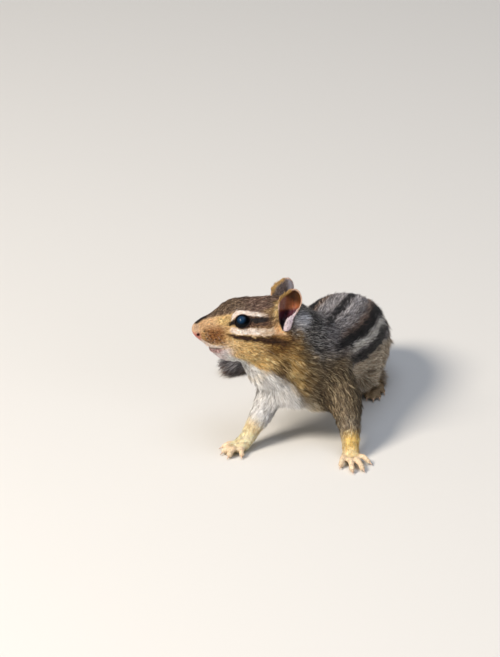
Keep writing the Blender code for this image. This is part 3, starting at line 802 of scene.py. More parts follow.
# tones of dark, common and light hairs, then how many in a hundred are dark, and how many light
coatTones = {
    "back": "262322 7a7270 c2bcb8 35 30",
    # grey either side of the spine: its own pale grey, lightened as a painted highlight of the sky light
    "backPaleLit": "3a3636 948c8a d4cecc 26 34",
    "backWarm": "2a1d16 6b4f3c b39478 42 16",
    "stripeBlack": "030304 0a080a 2a2220 60 3",
    "stripeBrown": "070404 16100f 3c2e26 55 3",
    "stripeWhite": "6a6259 b3aca0 ece8de 14 38",
    "flank": "4e4236 a8947c e4d8be 22 28",
    "rump": "4a3624 927454 ccaa84 28 20",
    "shoulder": "241c14 6c5a42 bca884 38 20",
    "nape": "191716 544f4b b8b2aa 43 26",
    "neck": "281a0c 6e522c c0a268 40 18",
    "belly": "9c9690 e8e5e2 fefdfb 11 42",
    "cream": "c4a878 eedcb8 fff6e2 8 42",
    "ochre": "7c5524 cfa45c f4dea4 20 32",
    "crown": "30221b 705446 c6a892 36 19",
    "crownFore": "2c1e16 66513f c4a688 36 22",
    "cheekFore": "7c5a30 dcb98a fbe6bc 20 36",
    "muzzle": "8a6440 deb280 f8deb4 16 30",
    "gold": "7a5626 d2ae6c f8e2ac 16 34",
    "temple": "2c1c13 664634 b08a64 38 14",
    "pale": "d0aa88 f6e2d2 fffaf4 8 45",
    "eyeStripe": "0a0505 1c0f0d 3c2a24 50 3",
    "lowStripe": "180903 40240e 744a22 44 6",
    "pad": "462006 925a2c d09c60 26 24",
    "nose": "ac886c d2b090 ecd2b6 14 24",
    "noseLow": "a05c54 dc9284 ecb8ac 16 20",
    "nostril": "1c0807 431815 6a2c26 30 10",
    "mouth": "3c2020 6a4440 8c5c56 30 10",
    "lowerLip": "8a6460 b89490 e0c8c4 14 25",
    "padSpot": "1c0e06 3a200e 5c3416 50 5",
    "noseTop": "0c0706 1f130f 4a342a 50 5",
    "lip": "c09a84 f0dccc fffaf6 10 40",
    "chin": "b89c9a ead8d6 fffafa 10 40",
    "cheek": "74501f e0b674 f8e2ac 18 32",
    # lower cheek: its own pale gold, lightened as painted light on this down-facing part
    "cheekLowLit": "9c7234 ecc47c fff0bc 12 38",
    "cheekBack": "2e1c0a 7c5424 c69e54 41 18",
    "orange": "b07a3c f0b67a fcdeaa 8 32",
    "wrist": "b48438 f2c86e fdeab2 8 38",
    "hand": "f0d29c ffeab8 fffae4 2 40",
    "toes": "e4c096 fae4c2 fff6e4 3 36",
    # hind feet: their own tan darkened by painted shade
    "hindFootShaded": "5c4428 9c7c50 cdb080 18 24",
    "tail": "343132 706a6c bcb8b6 26 26",
    "paleRear": "a47c58 dcc0a0 f6e6d0 14 36",
    "earPatch": "78746f bcb8b8 f0eeee 18 34",
    "tailUnder": "342012 7c5234 b08660 28 16",
}
def toneTable(tones):
    # a row for each zone: its three tones in linear light, then its two shares
    rows = {name: words.split() for name, words in tones.items()}
    return {name: np.concatenate([*map(linear, row[:3]), np.array(row[3:], float) / 100])
            for name, row in rows.items()}


toneRows = toneTable(coatTones)

# rows of whisker roots on the lip: behind the nose, above the nose line
whiskerSpots = [(3.9 + 1.35 * k + 0.35 * row, -0.3 - 1.25 * row - 0.16 * k)
                for row in range(4) for k in range(4)]


def painter(base, count):
    # tones that begin as one zone's, and what lays another zone over them as far as a mask says
    tones = np.tile(toneRows[base], (count, 1))

    def paint(name, mask):
        tones[:] = mix(tones, toneRows[name], np.clip(mask, 0, 1)[:, None])

    return tones, paint


def paintBody(paint, points, normals, place):
    # bands by t, mm along the trunk, and side, degrees round it from the spine
    share, t, side = place["share"], place["t"], np.abs(place["angle"])
    paint("flank", ramp(side, 76, 90))
    paint("rump", ramp(t, 64, 72))
    along = ramp(t, 16, 24) * fall(t, 66, 71)
    pale = np.interp(t, (20, 30, 38, 46, 52, 58, 66), (56, 59, 62, 61.5, 58.5, 55.5, 51))
    stations = (22, 30, 40, 48, 55, 60, 66)
    outer = np.interp(t, stations, (69, 75, 78, 77, 71, 67, 63))
    wide = np.interp(t, stations, (4, 6, 8.5, 10.5, 8, 6, 5))
    # its own pale grey either side of the spine, lightened as a painted highlight of the sky light
    paint("backPaleLit", bump(side, 15, 9) * ramp(t, 26, 34) * fall(t, 56, 64) * 0.8)
    paint("backWarm", fall(np.abs(side - pale + 23), 3, 9) * along * 0.7)
    paint("stripeBlack", fall(np.abs(side - pale + 14), 6, 9) * ramp(t, 13, 20) * fall(t, 66, 71) * 0.95)
    paint("stripeBlack", fall(side, 4, 7) * ramp(t, 11, 18) * fall(t, 68, 74) * 0.9)
    paint("stripeBrown", fall(np.abs(side - outer) - wide, -1, 2) * along)
    paint("stripeWhite", fall(np.abs(side - pale), 3.4, 6) * ramp(t, 20, 28) * fall(t, 64, 70))
    paint("shoulder", fall(t, 17, 30) * ramp(side, 44, 66))
    paint("nape", fall(t, 8, 18) * fall(side, 62, 84))
    paint("neck", fall(t, 2, 9) * ramp(side, 74, 98))
    # a darker spot behind the ear: painted shadow of the head and ear
    paint("stripeBrown", spot(t, side, (19, 45), (5, 16)) * 0.4)
    paint("ochre", fall(t, 7, 15) * bump(side, 108, 16) * 0.55)
    paint("gold", spot(t, side, (8.3, 121), (2.8, 9)) * 0.9)
    white = np.interp(t, (0, 4, 6.5, 8.5, 11, 16, 22, 30, 60),
                      (172, 160, 145, 135, 130, 132, 142, 148, 140))
    paint("cream", ramp(t, 11, 17) * fall(t, 30, 40) * ramp(side, white - 16, white - 5) * 0.6)
    paint("belly", ramp(side, white - 5, white + 7) * fall(t, 71, 76))
    thighs = share["leftThigh"] + share["rightThigh"]
    paint("flank", ramp(thighs, 0.15, 0.6) * (1 - ramp(t, 60, 72) * 0.6) * ramp(side, 88, 104))
    for name, facing, edge, right in (("leftForeleg", (0.94, -0.35, 0.1), -0.25, False),
                                      ("rightForeleg", (-0.25, 0.97, 0.0), 0.5, True)):
        reach, near = place["reach"][name], ramp(share[name], 0.25, 0.7)
        outside = ramp(normals @ unit(facing), edge - 0.25, edge + 0.2)
        paint("shoulder", near * outside)
        paint("belly" if right else "shoulder", near * (1 - outside))
        paint("cream", near * ramp(reach, 0.3, 0.5) * (1 - outside) * (1.0 if right else 0.4))
        paint("flank", near * bump(reach, 0.34, 0.1) * (0.0 if right else 0.5))
        paint("wrist", near * ramp(reach, 0.34, 0.5) * mix(0.5, 1.0, outside))
        paint("hand", near * (ramp(reach, 0.45, 0.62) if right else 0.55 * ramp(reach, 0.58, 0.78)))
    # the hind feet and, at 0.75, their toes: their own tan darkened by painted shade
    paint("hindFootShaded", ramp(share["leftHindFoot"], 0.3, 0.7))
    paint("hindFootShaded", ramp(share["rightHindFoot"], 0.3, 0.7))
    toes = ramp(place["finger"], 0.3, 0.8)
    paint("toes", toes)
    paint("hindFootShaded", toes * (points[:, 1] > 30) * 0.75)
    paint("tail", ramp(share["tail"], 0.2, 0.6))
    paint("tailUnder", ramp(share["tail"], 0.3, 0.7) * ramp(-normals[:, 2], 0.2, 0.8))


def paintHead(paint, points, place):
    # bells, edges and strips by b, mm behind the nose tip, h, above it, and l, out from the middle
    b, l, h = headPlace(points)
    l = np.abs(l)
    head = ramp(place["share"]["head"], 0.35, 0.65) * fall(b, 33.5, 37)

    def lay(name, mask):
        paint(name, head * mask)

    def strip(name, start, end, xs, ys, halves):
        # 1 along a line of the side of the head, with soft edges and soft ends
        off = np.abs(h - np.interp(b, xs, ys)) / np.interp(b, xs, halves)
        lay(name, fall(off, 0.7, 1.25) * ramp(b, *start) * fall(b, *end))

    paint("cheek", head)
    lay("cheekFore", fall(b, 11, 17) * fall(h, -4.5, -3.0))
    lay("cheekBack", ramp(b, 19.5, 27) * (1 - 0.85 * ramp(-h, 8, 12)))
    # the lower cheek's own pale gold, lightened as painted light on this down-facing part
    lay("cheekLowLit", spot(b, h, (20.5, -11.8), (6.0, 2.0)) * 0.9)
    lay("nape", ramp(b, 31, 35) * ramp(h, -7, -3))
    lay("muzzle", ramp(h, -1.5, 0.5) * fall(b, 9, 14))
    lay("temple", ramp(h, -1.0, 1.0) * ramp(b, 12, 18))
    lay("gold", spot(b, h, (10.6, 2.9), (2.4, 1.7)) * 1.2)
    lay("gold", spot(b, h, (25.4, 4.8), (2.4, 0.9)) * 0.3)
    edge = np.interp(b, (1, 4, 6, 8, 10, 12, 14, 16, 18, 20, 22, 24, 28, 34),
                     (2.6, 3.6, 4.0, 4.5, 4.9, 5.2, 5.6, 6.15, 6.0, 5.6, 5.3, 5.6, 6.2, 5.4))
    crown = ramp(h - edge, -0.6, 0.4) * ramp(b, 3, 6)
    lay("crown", crown)
    lay("crownFore", crown * fall(b, 15, 22))
    strip("eyeStripe", (18, 20), (24, 28), (19, 22, 24.2, 26.1, 28), (3.1, 2.7, 2.5, 2.2, 1.8),
          (0.8, 0.85, 0.8, 0.7, 0.6))
    strip("eyeStripe", (11.4, 12.8), (16, 17), (11.4, 13.0, 14.4, 16), (1.7, 2.1, 2.7, 3.0),
          (0.5, 0.7, 0.8, 0.9))
    strip("pale", (13.0, 13.6), (22.5, 26), (13.2, 14.0, 15.2, 17, 19, 20.5, 22.2, 23.9, 26),
          (3.4, 4.4, 5.2, 5.6, 5.4, 5.0, 4.5, 4.05, 3.5),
          (0.8, 0.85, 0.85, 0.62, 0.58, 0.6, 0.6, 0.55, 0.45))
    for name, start, end in (("pale", (11.6, 13.2), (28, 31)), ("paleRear", (20, 25), (29, 32))):
        strip(name, start, end, (11.8, 14.5, 17, 19.6, 23.7, 28.2, 31),
              (0.0, -0.4, -0.8, -0.9, -1.5, -2.2, -2.7), (0.8, 1.15, 1.2, 1.25, 1.2, 1.2, 1.1))
    strip("lowStripe", (10.5, 12.5), (30, 35), (11.5, 12.7, 17, 21, 25, 29.8, 36),
          (-1.7, -2.1, -3.2, -3.8, -4.5, -5.6, -7.1), (0.5, 0.65, 0.95, 1.0, 1.0, 0.9, 0.6))
    lay("cheek", spot(b, h, (33.5, -8.2), (3.0, 2.2)) * 0.3)
    lay("orange", spot(b, h, (29.6, -1.6), (2.4, 2.2)))
    lay("gold", spot(b - 29.4 - 0.3 * (h - 5), h, (0, 5.4), (1.7, 3.4)) * ramp(l, 2.5, 4.5) * 1.4)
    lay("pad", spot(b, h, (7.2, -1.9), (3.9, 3.2), 4) * ramp(l, 1.5, 2.6))
    strip("lip", (1.4, 2.2), (9.5, 12), (1.5, 3.8, 5.7, 7.6, 10.8), (-2.9, -4.6, -6.0, -6.3, -6.1),
          (0.7, 0.9, 0.9, 0.75, 0.5))
    lay("chin", ramp(np.interp(b, *face["lipLine"]) - h, 0.0, 0.8) * fall(b, 10, 14))
    strip("lowerLip", (4.4, 5.2), (8.6, 10), (4.8, 6, 8, 9.6), (-7.4, -7.8, -7.8, -7.4),
          (0.5, 0.65, 0.6, 0.3))
    strip("mouth", (4.6, 5.6), (7.8, 9.8), *face["lipLine"], (0.2, 0.3, 0.3, 0.2, 0.2))
    throat = np.interp(b, (9.9, 12.9, 16.5, 19.3, 23.2, 27.7, 32),
                       (-7.4, -9.6, -11.6, -13.2, -15.6, -17.6, -19.4))
    lay("belly", ramp(throat - h, -0.6, 1.2) * ramp(b, 9, 12))
    lay("nose", fall(b, 1.7, 3.0) * fall(h, 1.8, 2.8))
    lay("noseLow", fall(b, 2.0, 3.2) * fall(h, -1.6, 0.0))
    lay("noseTop", fall(l, 1.0, 2.0) * ramp(h, 1.9, 2.5) * fall(b, 4.4, 6.0))
    lay("nostril", ramp(spot(b, h, face["nostril"], (0.75, 0.85)), 0.3, 0.8) * ramp(l, 0.7, 1.3))
    for root in whiskerSpots:
        lay("padSpot", ramp(spot(b, h, root, (0.3, 0.3)), 0.3, 0.7) * (l > 1.5))
    paint("earPatch", spot(b, h, (37.2, 0.6), (2.5, 2.6), 4) * ramp(l, 3, 5)
          * ramp(points[:, 2], 38, 42))


def paintCoat(points, normals, place):
    # the markings: each zone covers what is under it
    tones, paint = painter("back", len(points))
    paintBody(paint, points, normals, place)
    paintHead(paint, points, place)
    return tones


def coatShape(points, place):
    # at each point: mm of length, degrees of lift at the root and of curve along the hair, mm of
    # width, and hairs to the square millimetre
    share, t, side = place["share"], place["t"], np.abs(place["angle"])
    b, _, h = headPlace(points)
    values = np.tile((4.2, 20, -26, 0.17, 38), (len(points), 1))

    def blend(mask, *row):
        row = np.stack(np.broadcast_arrays(*row, b)[:5], -1)
        values[:] = mix(values, row, np.clip(mask, 0, 1)[:, None])

    blend(fall(t, 16, 30) * fall(side, 70, 100), 3.4, 22, -26, 0.16, 42)
    blend(fall(t, 4, 16) * ramp(side, 95, 125), 4.8, 28, -30, 0.18, 34)
    blend(ramp(side, 115, 135), 5.2, 28, -30, 0.18, 32)
    blend(share["leftThigh"] + share["rightThigh"], 4.0, 20, -26, 0.17, 36)
    blend(ramp(t, 58, 68), 5.0, 28, -32, 0.18, 34)
    for name in ("leftForeleg", "rightForeleg"):
        reach = place["reach"][name]
        blend(ramp(share[name], 0.2, 0.7),
              np.interp(reach, (0, 0.3, 0.5, 0.7, 1), (4.0, 3.2, 2.0, 1.1, 0.8)), 20, -22,
              np.interp(reach, (0, 0.5, 0.7, 1), (0.19, 0.16, 0.14, 0.11)),
              np.interp(reach, (0, 0.5, 0.7, 1), (29, 32, 38, 42)))
    blend(ramp(share["leftHindFoot"] + share["rightHindFoot"], 0.3, 0.7), 1.2, 22, -20, 0.14, 28)
    blend(ramp(place["finger"], 0.3, 0.8), 0.45, 16, -12, 0.09, 30)
    blend(ramp(share["tail"], 0.25, 0.6),
          np.interp(place["reach"]["tail"], (0, 0.2, 0.8, 1), (6, 8, 9, 9)), 38, -34, 0.2, 46)
    # on the head longer from nose to nape, and shorter round the eyes and the ears
    length = np.interp(b, (0, 2, 5, 9, 13, 18, 24, 30, 38),
                       (0.35, 0.5, 0.8, 1.1, 1.4, 1.7, 2.2, 2.8, 3.2))
    ears = [earShare(points, s) for s in (1, -1)]
    toRim = np.min([rim + 9 * (np.abs(depth) > 6) for rim, depth, _, _ in ears], axis=0)
    length = length * mix(0.5, 1, ramp(toEye(points), 3.2, 6.0)) * mix(1, 0.6, beforeEar(points))
    length = length * mix(0.35, 1, ramp(toRim, 1.0, 1.5))
    head = ramp(share["head"], 0.3, 0.7)
    blend(head, length, np.interp(b, (0, 10, 25, 35), (16, 18, 24, 28)),
          np.interp(b, (0, 20, 35), (-12, -20, -32)),
          np.interp(b, (0, 6, 15, 25, 35), (0.09, 0.1, 0.13, 0.16, 0.19)),
          np.interp(b, (0, 6, 15, 25, 35), (58, 58, 48, 38, 31)))
    blend(head * ramp(b, 16, 26) * ramp(-h, 8, 13), 4.2, 28, -30, 0.17, 36)
    return values


def bareness(points):
    # 1 where nothing grows: nose, nostrils, the line of the lips, soles, the eye's opening and the
    # ears' roots
    b, _, h = headPlace(points)
    bare = [fall(b, 0.6, 1.1) * (h < 2.0), spot(b, h, face["nostril"], (0.8, 0.7)) * 1.3,
            bump(h, np.interp(b, *face["lipLine"]), 0.3) * (b < 11) * (b > 4),
            fall(points[:, 2], 0.12, 0.35)]
    for side in (1, -1):
        centre, axis, along, over = eyeFrame(side)
        offset = points - centre
        bare.append((openingShare(offset @ along, offset @ over) < 1.08) * (offset @ axis > -1))
        share, depth, _, floor = earShare(points, side)
        bare.append((share < 1.02) & (np.abs(depth - floor) < 1.0))
    return np.clip(np.max(bare, axis=0), 0, 1)


def buildSkin():
    # the union of all masses, evened out most on the body, made finer and shaped on the face
    points, faces = remeshed(*massesUnderCoat(), skin["voxel"])
    ends = edgeEnds(faces)
    onHead = ramp(points[:, 2], 30, 34) * ramp(-points[:, 1], -28, -22)
    body = ramp(points[:, 2], 7, 15) * (1 - onHead * fall(headPlace(points)[0], 15, 26))
    points = evenOut(points, ends, 0.5 * body[:, None], skin["blendPasses"])
    points = evenOut(points, ends, 0.5, skin["finePasses"])
    for reach in (1.0, 0.62):
        b, _, h = headPlace(points)
        fine = (b < skin["fineMuzzle"] * reach) & (h > -12) & (h < 7)
        points, faces = refined(points, faces, fine | (toEye(points) < skin["fineEye"] * reach))
    points = shapeFace(points, pointNormals(points, faces))
    points[:, 2] = np.maximum(points[:, 2], skin["floor"])
    return points, faces


skinPoints, skinFaces = buildSkin()
print("skin:", len(skinFaces), "triangles")
skinNormals = pointNormals(skinPoints, skinFaces)
skinPlace = bodyPlace(skinPoints)
skinTones = paintCoat(skinPoints, skinNormals, skinPlace)
skinShape = coatShape(skinPoints, skinPlace)
skinBare = bareness(skinPoints)
skinLie = evenOut(skinPlace["lie"], edgeEnds(skinFaces), 0.5, 12)
print("markings and lie of the coat")

# thin skin with the coat's shortest, flattest hairs: dull, softly lit, a fine streaky grain
bareSkin = tonedMaterial("skin_with_short_flat_hair", ((2600.0, 3.0), (700.0, 2.0)),
                         (0.7, 1.3, 0.62, 1.2), {"Roughness": 0.72, "Specular IOR Level": 0.3},
                         relief=(0.00012, 0.5))
# keratin hairs: satin, a little brighter where the light grazes them
hair = tonedMaterial("keratin_guard_hair", ((1500.0, 2.0),), (0.3, 0.7, 0.88, 1.1),
                     {"Roughness": 0.52, "Specular IOR Level": 0.25, "Sheen Weight": 0.06,
                      "Sheen Roughness": 0.5})

fleshNodes = [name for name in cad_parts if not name.startswith(("ear", "eye"))]
# between the hairs the skin takes the hairs' darker tones, dimmed further as painted shade under the
# coat, and in its own tone where it is bare
shadedUnderTone = 0.45 * skinTones[:, 0:3] + 0.55 * skinTones[:, 3:6]
shadedUnderTone *= mix(mix(0.7, 0.95, ramp(skinTones[:, 3:6].mean(1), 0.2, 0.6)), 1.0, skinBare)[:, None]
skinPiece = makePiece("skin", skinPoints, skinFaces, bareSkin)
setPointColours(skinPiece.data, shadedUnderTone)
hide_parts(*fleshNodes)


def unwrap(piece, name="OFBake"):
    # islands by the direction the surface faces, packed in one square
    piece.data.uv_layers.new(name=name)
    bpy.context.view_layer.objects.active = piece
    piece.select_set(True)
    bpy.ops.object.mode_set(mode="EDIT")
    bpy.ops.mesh.select_all(action="SELECT")
    bpy.ops.uv.smart_project(angle_limit=math.radians(66), island_margin=0.002)
    bpy.ops.object.mode_set(mode="OBJECT")
    piece.select_set(False)
    layer = piece.data.uv_layers[name]
    flat = np.empty(len(layer.uv) * 2, np.float32)
    layer.uv.foreach_get("vector", flat)
    return flat.reshape(-1, 3, 2)


skinFlat = unwrap(skinPiece)
print("unwrapped")


# hairs: thin bent blades, rooted in the skin

hairs = {
    "roll": 17,         # degrees a blade is turned about its own length, spread
    "rise": 5,          # degrees a lock and a hair stand higher or lower, spread
    "length": (0.14, 0.7, 1.12),  # spread between locks, shortest and longest within one
    "pull": 0.35,       # the most a tip is drawn aside, as a share of its length
    "sunk": 0.1,        # mm a root starts under the skin
    "floor": 0.03,      # mm over the floor that no hair goes under
    "patch": 0.0015,    # half the size of a hair's patch on the unwrap
    "most": 190000,     # triangles a piece
}
hairTints = {
    "common": 0.45,     # the most that a dark or a light hair takes from the common tone
    "level": (0.13, 0.10),        # spread of brightness between locks, and within one
    "tip": (-0.35, 0.2),          # how much darker or lighter than its length a tip may be
    # brightness at the root, at 0.4 of the length and at the tip, in dark and in pale zones; the dim
    # roots are painted shade inside the coat
    "dark": (0.55, 0.92, 1.12), "pale": (0.8, 0.97, 1.04),
}
# segments of a hair, mm across a lock, degrees a lock and a hair swing, how far tips draw together
locks = {
    "head": (2, 0.8, 9, 7, 0.22),
    "body": (2, 1.1, 8, 9, 0.18),
    "forelegs": (2, 0.9, 9, 9, 0.18),
    "tail": (3, 1.8, 12, 9, 0.25),
    "feet": (2, 0.6, 12, 10, 0.15),
    "ears": (2, 0.6, 12, 10, 0.15),
}


def scatterRoots(points, faces, density):
    # each triangle gets its area times its density of roots, the rest by chance
    area = np.linalg.norm(faceNormals(points, faces), axis=1) / 2
    wanted = area * density[faces].mean(1)
    count = (wanted + chance.random(len(faces))).astype(int)
    face = np.repeat(np.arange(len(faces)), count)
    u, v = chance.random((2, len(face)))
    over = u + v > 1
    u[over], v[over] = 1 - u[over], 1 - v[over]
    return face, np.stack([1 - u - v, u, v], -1)


def atRoots(values, faces, face, weights):
    # point values at the roots, by their weights in their triangles
    return np.einsum("ij,ij...->i...", weights, values[faces[face]])


def hairBlades(root, normal, lie, length, lift, curve, width, kind):
    # path angle runs evenly from lift to lift + curve; width swells and ends in a point
    segments, cell, lockTurn, hairTurn, drawn = locks[kind]
    count = len(root)
    cells = np.floor(root / cell + 0.35 * np.sin(root[:, [1, 2, 0]] * 1.7)).astype(int)
    _, lock = np.unique(cells @ np.array([1, 1000, 1000000]), return_inverse=True)
    groups = lock.max() + 1
    swing = chance.normal(0, lockTurn, groups)[lock] + chance.normal(0, hairTurn, count)
    rise = chance.normal(0, hairs["rise"], groups)[lock] + chance.normal(0, hairs["rise"], count)
    uneven, shortest, longest = hairs["length"]
    length = length * (1 + uneven * chance.normal(0, 1, groups)[lock])
    length *= chance.uniform(shortest, longest, count)
    along = unit(lie - normal * (lie * normal).sum(1, keepdims=True))
    across = np.cross(normal, along)
    turn = np.radians(swing)[:, None]
    along, across = (along * np.cos(turn) + across * np.sin(turn),
                     across * np.cos(turn) - along * np.sin(turn))
    first = np.radians(np.clip(lift + rise, 4, 80))[:, None]
    change = np.radians(curve)[:, None]
    roll = np.radians(chance.normal(0, hairs["roll"], count))[:, None]
    side = across * np.cos(roll) + normal * np.sin(roll)
    shares = np.linspace(0, 1, segments + 1)
    widths = np.interp(shares, (0, 0.35, 0.7, 1), (0.75, 1.0, 0.7, 0.0))
    mid = np.empty((count, segments + 1, 3))
    for k, share in enumerate(shares):
        angle = first + change * share
        ahead = (np.sin(angle) - np.sin(first)) / change
        above = (np.cos(first) - np.cos(angle)) / change
        mid[:, k] = root + length[:, None] * (along * ahead + normal * above)
    tips = np.stack([np.bincount(lock, mid[:, -1, k], groups) for k in range(3)], -1)
    tips = (tips / np.bincount(lock, minlength=groups)[:, None])[lock]
    pull = drawn * (tips - mid[:, -1])
    far = np.maximum(np.linalg.norm(pull, axis=1), 1e-6)
    pull *= np.minimum(1, hairs["pull"] * length / far)[:, None]
    mid += pull[:, None] * (shares[:, None] ** 2)
    mid -= hairs["sunk"] * normal[:, None] * (shares[:, None] == 0)
    half = (width[:, None] * widths / 2)[..., None] * side[:, None]
    both = np.stack([mid - half, mid + half], 2)
    points = np.concatenate([both[:, :-1].reshape(count, -1, 3), mid[:, -1:]], 1)
    points[..., 2] = np.maximum(points[..., 2], hairs["floor"])
    flat = [(2 * k, 2 * k + 3, 2 * k + 1) for k in range(segments - 1)]
    flat += [(2 * k, 2 * k + 2, 2 * k + 3) for k in range(segments - 1)]
    flat.append((2 * segments - 2, 2 * segments, 2 * segments - 1))
    corners = np.array(flat) + (np.arange(count) * points.shape[1])[:, None, None]
    return points, corners, lock, np.append(np.repeat(shares[:-1], 2), 1.0)


def hairTones(tones, lock, shares):
    # a dark, a common or a light hair by its zone's shares; roots darker as painted shade inside the
    # coat, tips lighter
    count = len(tones)
    dark, common, light, darkShare, lightShare = np.split(tones, (3, 6, 9, 10), axis=1)
    pick = chance.random(count)[:, None]
    colour = np.where(pick < darkShare, dark, np.where(pick > 1 - lightShare, light, common))
    colour = mix(colour, common, chance.uniform(0, hairTints["common"], count)[:, None])
    betweenLocks, within = hairTints["level"]
    level = chance.normal(1, betweenLocks, lock.max() + 1)[lock] * chance.normal(1, within, count)
    pale = ramp(common.mean(1), 0.2, 0.6)[:, None]
    gradient = mix(*(np.interp(shares, (0, 0.4, 1), hairTints[zone]) for zone in ("dark", "pale")),
                   pale)
    tip = chance.uniform(*hairTints["tip"], count)[:, None] * (1 - 0.6 * pale)
    gradient *= 1 + tip * shares**2
    return np.clip(colour[:, None] * (level[:, None] * gradient)[..., None], 0.002, 1)


def patchUvs(flat, points, shares):
    # the blade drawn small round its root's place on the unwrap
    reach = hairs["patch"]
    v = (shares - 0.5) * 2 * reach
    u = np.where(np.arange(len(shares)) % 2, reach, -reach) * 0.6
    u[-1] = 0
    return np.clip(flat[:, None] + np.stack([u, v], -1), 0.001, 0.999)


def makeCoatPiece(name, points, corners, colours, uvs):
    # blades with their tones and their patches of the unwrap
    piece = makePiece(name, points.reshape(-1, 3), corners.reshape(-1, 3), hair, "coat", False)
    setPointColours(piece.data, colours.reshape(-1, 3))
    setUvs(piece.data, uvs.reshape(-1, 2)[corners.ravel()])


def growCoat(name, surface, face, weights, kind):
    # one zone's hairs, in as many pieces as keep each under the limit; surface: its triangles, their
    # unwrap, and a row for each point: place, normal, lie, coat shape and tones
    at = atRoots(surface["values"], surface["faces"], face, weights)
    root, normal, lie, shape, tones = np.split(at, (3, 6, 9, 14), axis=1)
    points, corners, lock, shares = hairBlades(root, unit(normal), lie, *shape.T[:4], kind)
    colours = hairTones(tones, lock, shares)
    uvs = patchUvs(np.einsum("ij,ijk->ik", weights, surface["flat"][face]), points, shares)
    total = corners.shape[0] * corners.shape[1]
    for part, chosen in enumerate(np.array_split(np.arange(len(root)),
                                                 math.ceil(total / hairs["most"]))):
        makeCoatPiece(f"coat_{name}_{part + 1}", points[chosen],
                      corners[chosen] - chosen[0] * points.shape[1], colours[chosen], uvs[chosen])
    print("coat of the", name, total, "triangles")


def growAll():
    # roots all over the skin, each in the zone that has the largest share there
    density = skinShape[:, 4] * (1 - skinBare) ** 2 * coatDensity
    face, weights = scatterRoots(skinPoints, skinFaces, density)
    share = skinPlace["share"]
    zones = np.stack([share["head"], share["trunk"] + share["leftThigh"] + share["rightThigh"],
                      share["leftForeleg"] + share["rightForeleg"], share["tail"],
                      share["leftHindFoot"] + share["rightHindFoot"] + skinPlace["finger"]], -1)
    zone = atRoots(zones, skinFaces, face, weights).argmax(1)
    middle = atRoots(skinPoints, skinFaces, face, weights)
    surface = {"faces": skinFaces, "flat": skinFlat,
               "values": np.column_stack([skinPoints, skinNormals, skinLie, skinShape, skinTones])}
    for number, name in enumerate(("head", "body", "forelegs", "tail", "feet")):
        mine = np.nonzero(zone == number)[0]
        mine = mine[np.argsort(middle[mine, 1], kind="stable")]
        growCoat(name, surface, face[mine], weights[mine], name)


# share of the hairs that grow: fewer in a quick test
coatDensity = 1.0
growAll()


# what colours the ears have, as in the coat, with painted shadow and shade in the hollow
earTones = {
    # the top of the opening: painted shadow under the rolled rim
    "earTopShadow": "220f02 48260a 744c28 20 20",
    "earMid": "543018 8c5232 b07c58 10 30",
    # the lower front and the hole: painted shade deep in the hollow
    "earFront": "604438 926a5c c0a294 10 40",
    "earDeepShade": "280c14 48202a 603038 20 10",
    "earHoleShade": "10060a 1c0c12 301820 20 10",
    "earLobe": "b8a4ac dccad0 faf2f2 10 40",
    "earRim": "a87c62 d4b09a f4dccc 5 40",
    "earGold": "86602c c09858 e8c88c 16 30",
    "earBack": "342a28 5e504c 9c908e 33 17",
    "earPale": "988c90 c4babc ece6e4 15 40",
}
toneRows.update(toneTable(earTones))


def earShape(side, rings=40, sides=120):
    # rings of the outline shrunk to the middle, down the opening's side, round the rim, up the back
    outline = earLine(sides)
    inner = np.linspace(0.03, 1, rings)
    r = np.concatenate([inner, np.full(3, 1.0), inner[::-1]])[:, None]
    middle = np.array(ear["middle"])
    flat = middle + (outline - middle)[None] * r[..., None]
    x, y = flat[..., 0], flat[..., 1]
    low = fall(y, -5.5, -1.0)
    edge = (1 - r) * np.linalg.norm(outline - middle, axis=1)
    lip = mix(ear["rim"], ear["lobeRim"], low) * np.exp(-(edge / mix(0.45, 0.7, low)) ** 2)
    dish = -ear["cup"] * (1 - r**2.4) * mix(1, 0.75, low)
    foldPlace, foldHalf, foldHeight = ear["fold"]
    fold = foldHeight * bump(x, foldPlace - 0.25 * (y - 2), foldHalf)
    fold = fold * ramp(y, -2.6, -0.4) * fall(y, 2.6, 5.0)
    front = dish + lip + earPits(x, y) + fold
    front = mix(front, 0.5 + 0.25 * np.cos(1.6 * (x - 0.2)), lobeShare(x, y, -0.2, 0.7, 1.0))
    back = dish + earPits(x, y) - ear["wall"] - 0.35 * low
    count = len(inner)
    depth = np.concatenate([front[:count], np.zeros((3, sides)), back[count + 3:]])
    rim = front[count - 1]
    for k, turn in enumerate(np.radians((45, 90, 135))):
        grow = math.sin(turn) * mix(*ear["rimGrow"], low[count])
        depth[count + k] = mix(rim, back[-count], 0.5 * (1 - math.cos(turn)))
        flat[count + k] += unit(outline - middle) * grow[:, None]
    centre, upward, rearward, outward = earAxes(side)
    points = centre + flat[..., :1] * rearward + flat[..., 1:] * upward + depth[..., None] * outward
    grid, faces = closedGrid(points)
    # own unwrap: the opening's side on the left half, the back on the right
    place = np.vstack([flat.reshape(-1, 2), middle, middle])
    behind = np.concatenate([np.arange(len(r) * sides) >= (count + 1) * sides, [False, True]])
    spread = place / ear["unwrapSize"]
    uv = np.stack([0.25 + spread[:, 0] + 0.5 * behind, 0.52 + spread[:, 1]], -1)
    if side > 0:
        faces = faces[:, ::-1]
    radius = np.concatenate([np.repeat(r[:, 0], sides), [0, 0]])
    lie = unit(upward + 0.0625 * place[:, :1] * rearward)
    return grid, faces, uv, place, radius, behind, lie


